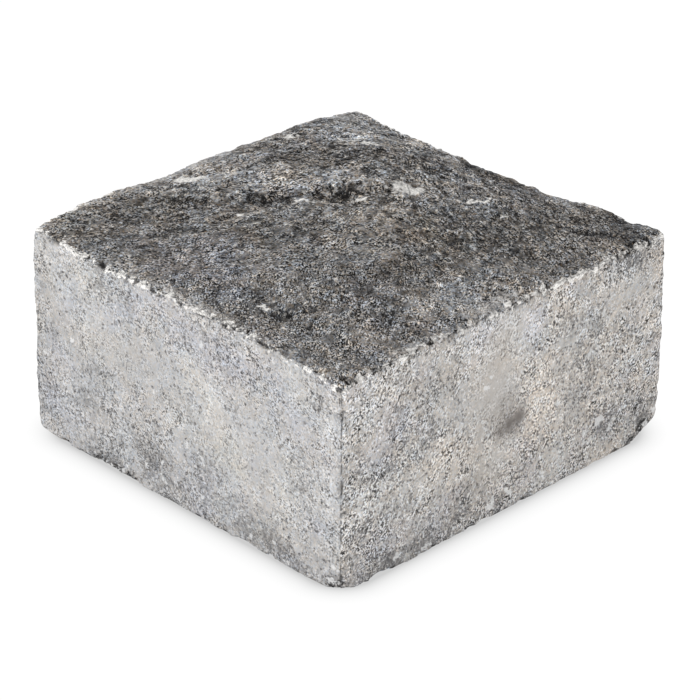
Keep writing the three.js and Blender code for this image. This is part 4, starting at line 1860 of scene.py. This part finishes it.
    def ragged(self, p: Array, spots: tuple[Spot, ...]) -> Array:
        """Spots with a ragged rim: 1 inside and 0 outside, on a line moved to and fro by noise."""
        cover = covered(p, spots)
        return self.rim.of(cover + self.rim_rough.at(p)) * self.rim_ends.of(cover)

    def relief(self, surface: Surface, net: Lattice, cut: Array, coarse: Array) -> Array:
        """How far the surface is pushed out, point by point, but for its crumbs and gaps.

        Args:
            surface: the stone before this relief.
            net: the block's lattice.
            cut: how deep the flakes cut.
            coarse: how coarse the walls are.

        Returns:
            Millimetres outwards.
        """
        p = surface.points
        on_top = self.top_starts.of(net.from_arris)
        broken = np.maximum(on_top, self.cut_is_riven.of(cut))
        walls, riven = self.hewing.at(p, coarse), self.splitting.at(p, self.ragged(p, self.pits))
        return walls + (riven - walls) * broken - self.crumbling.nibbled(p, net, on_top)

    def attributes(self, surface: Surface, net: Lattice) -> dict[str, Array]:
        """What the material reads of the finished surface.

        Args:
            surface: the finished surface.
            net: the block's lattice.

        Returns:
            One number for each point, by name.
        """
        p = surface.points
        heights = {"fine_height": self.fine_height, "height": self.height}
        relief = {name: surface.relief(rounds) / full for name, (rounds, full) in heights.items()}
        return {
            "right_of_spur": self.splitting.right_of_spur(p),
            "behind": sum((ramp.of(p[:, 1] - p[:, 0]) for ramp in self.behind), self.behind_start),
            "from_upright": net.from_upright + self.top_from_upright * self.top_starts.of(net.from_arris),
            "pit": self.ragged(p, self.pits),
            "bruise": self.ragged(p, self.bruises),
            "tone": summed(p, self.tones),
            "hue": summed(p, self.hues),
            **{name: covered(p, getattr(self, name)) for name in ("calm", "worn", "pocked", "washed")},
            "dark_mark": covered(p, self.dark_marks),
            **{name: np.clip(values, -self.height_limit, self.height_limit) for name, values in relief.items()},
        }

    def build(self) -> bpy.types.Object:
        """Makes the stone in place of its plain solid.

        Returns:
            The object.
        """
        net = self.shape.lattice()
        points, cut = self.shape.on_stone(net.points)
        surface = Surface(points, net.quads, net.triangles)
        coarse = self.coarse(surface)
        from_arris = net.from_arris + summed(points, self.arris_shifts)
        edges = self.crumbling
        more = edges.more_at_rims * covered(points, self.rims) - edges.less_where_calm * covered(points, self.calm)
        crumb, gap = edges.crumbs_and_gaps(points, from_arris, net, more)
        gap = gap * (1 - self.whole.of(self.whole_arris.over(points)))
        relief = self.relief(surface, net, cut, coarse) + edges.crumb_height * crumb - edges.gap_depth * gap
        surface.points = points + surface.normals() * np.where(net.bed, 0, relief)[:, None]
        surface.points[:, 2] = np.maximum(surface.points[:, 2], 0)
        attributes = {
            "from_arris": from_arris,
            "ahead": self.splitting.ahead(points),
            "broken": self.cut_looks_riven.of(cut),
            "coarse": coarse,
            "crumb": crumb,
            "gap": gap,
            **self.attributes(surface, net),
        }
        item = make_object(self.name, surface, attributes)
        item.data.materials.append(GraniteMaterial(self.finish).build(self.grain_bearings))
        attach(item, "root")
        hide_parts("cobblestone")
        LOG.info("%s: %d points, %d faces", self.name, len(item.data.vertices), len(item.data.polygons))
        return item


# ---------------------------------------------------------------------------------------------------------------
# The studio
# ---------------------------------------------------------------------------------------------------------------


class Fill(Enum):
    """The soft lights round the stone: where each stands in metres, its size in metres and its power in watts."""

    KEY = ((-0.3, -2.5, 1.2), 0.8, 37.5)
    SIDE = ((2.5, -0.2, 1.1), 1.2, 22)
    RIM = ((-2.2, 0.7, 1.4), 0.7, 48)


@dataclass
class Studio:
    """The floor, the lights and the camera, in metres and degrees. The azimuth is from -Y towards +X."""

    floor_side: float = 12.0
    sky: float = 0.28
    azimuth: float = 45.261
    elevation: float = 28.868
    roll: float = 0.525
    distance: float = 1.66107
    lens: float = 185.07  # millimetres
    sensor: float = 36  # millimetres
    target: Point = (0.00055, 0.00055, 0.0427)

    def camera(self) -> bpy.types.Object:
        """Makes the camera, which looks at the target from its azimuth and elevation, and makes it the scene's own.

        Returns:
            The camera.
        """
        a, e, turn = np.radians([self.azimuth, self.elevation, self.roll])
        back = np.array([np.sin(a) * np.cos(e), -np.cos(a) * np.cos(e), np.sin(e)])
        right = np.array([np.cos(a), np.sin(a), 0])
        up = np.cross(back, right)
        side = np.cos(turn) * right + np.sin(turn) * up
        top = np.cos(turn) * up - np.sin(turn) * right
        data = bpy.data.cameras.new("camera")
        data.lens = self.lens
        data.sensor_width = self.sensor
        item = bpy.data.objects.new("camera", data)
        place = np.array(self.target) + back * self.distance
        columns = Matrix([side.tolist(), top.tolist(), back.tolist()]).transposed().to_4x4()
        item.matrix_world = Matrix.Translation(Vector(place.tolist())) @ columns
        bpy.context.scene.collection.objects.link(item)
        bpy.context.scene.camera = item
        return item

    def floor(self) -> bpy.types.Object:
        """Makes the floor: one square, level with the bed.

        Returns:
            The object.
        """
        half = self.floor_side / 2 / MM
        points = np.array([[-half, -half, 0], [half, -half, 0], [half, half, 0], [-half, half, 0]])
        item = make_object("floor", Surface(points, np.array([[0, 1, 2, 3]]), np.zeros((0, 3), int)), {})
        item.data.materials.append(PaleFloorFinish().build())
        return item

    def lights(self) -> None:
        """Makes the sky and the soft lights."""
        world = bpy.data.worlds.new("sky")
        world.use_nodes = True
        background = world.node_tree.nodes["Background"]
        background.inputs["Color"].default_value = (1, 1, 1, 1)
        background.inputs["Strength"].default_value = self.sky
        bpy.context.scene.world = world
        for light in Fill:
            place, size, power = light.value
            data = bpy.data.lights.new(light.name.lower(), "AREA")
            data.shape = "DISK"
            data.size = size
            data.energy = power
            item = bpy.data.objects.new(light.name.lower(), data)
            item.location = place
            item.rotation_mode = "QUATERNION"
            item.rotation_quaternion = (Vector(self.target) - Vector(place)).to_track_quat("-Z", "Y")
            bpy.context.scene.collection.objects.link(item)

    def build(self) -> None:
        """Makes the whole studio, and shows colours as they are."""
        self.camera()
        self.floor()
        self.lights()
        bpy.context.scene.view_settings.view_transform = "Standard"


def main() -> None:
    """Loads the frame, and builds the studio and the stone."""
    logging.basicConfig(level=logging.INFO, format="%(name)s: %(message)s")
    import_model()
    Studio().build()
    Cobblestone().build()
    bpy.context.view_layer.update()


if __name__ == "__main__":
    main()
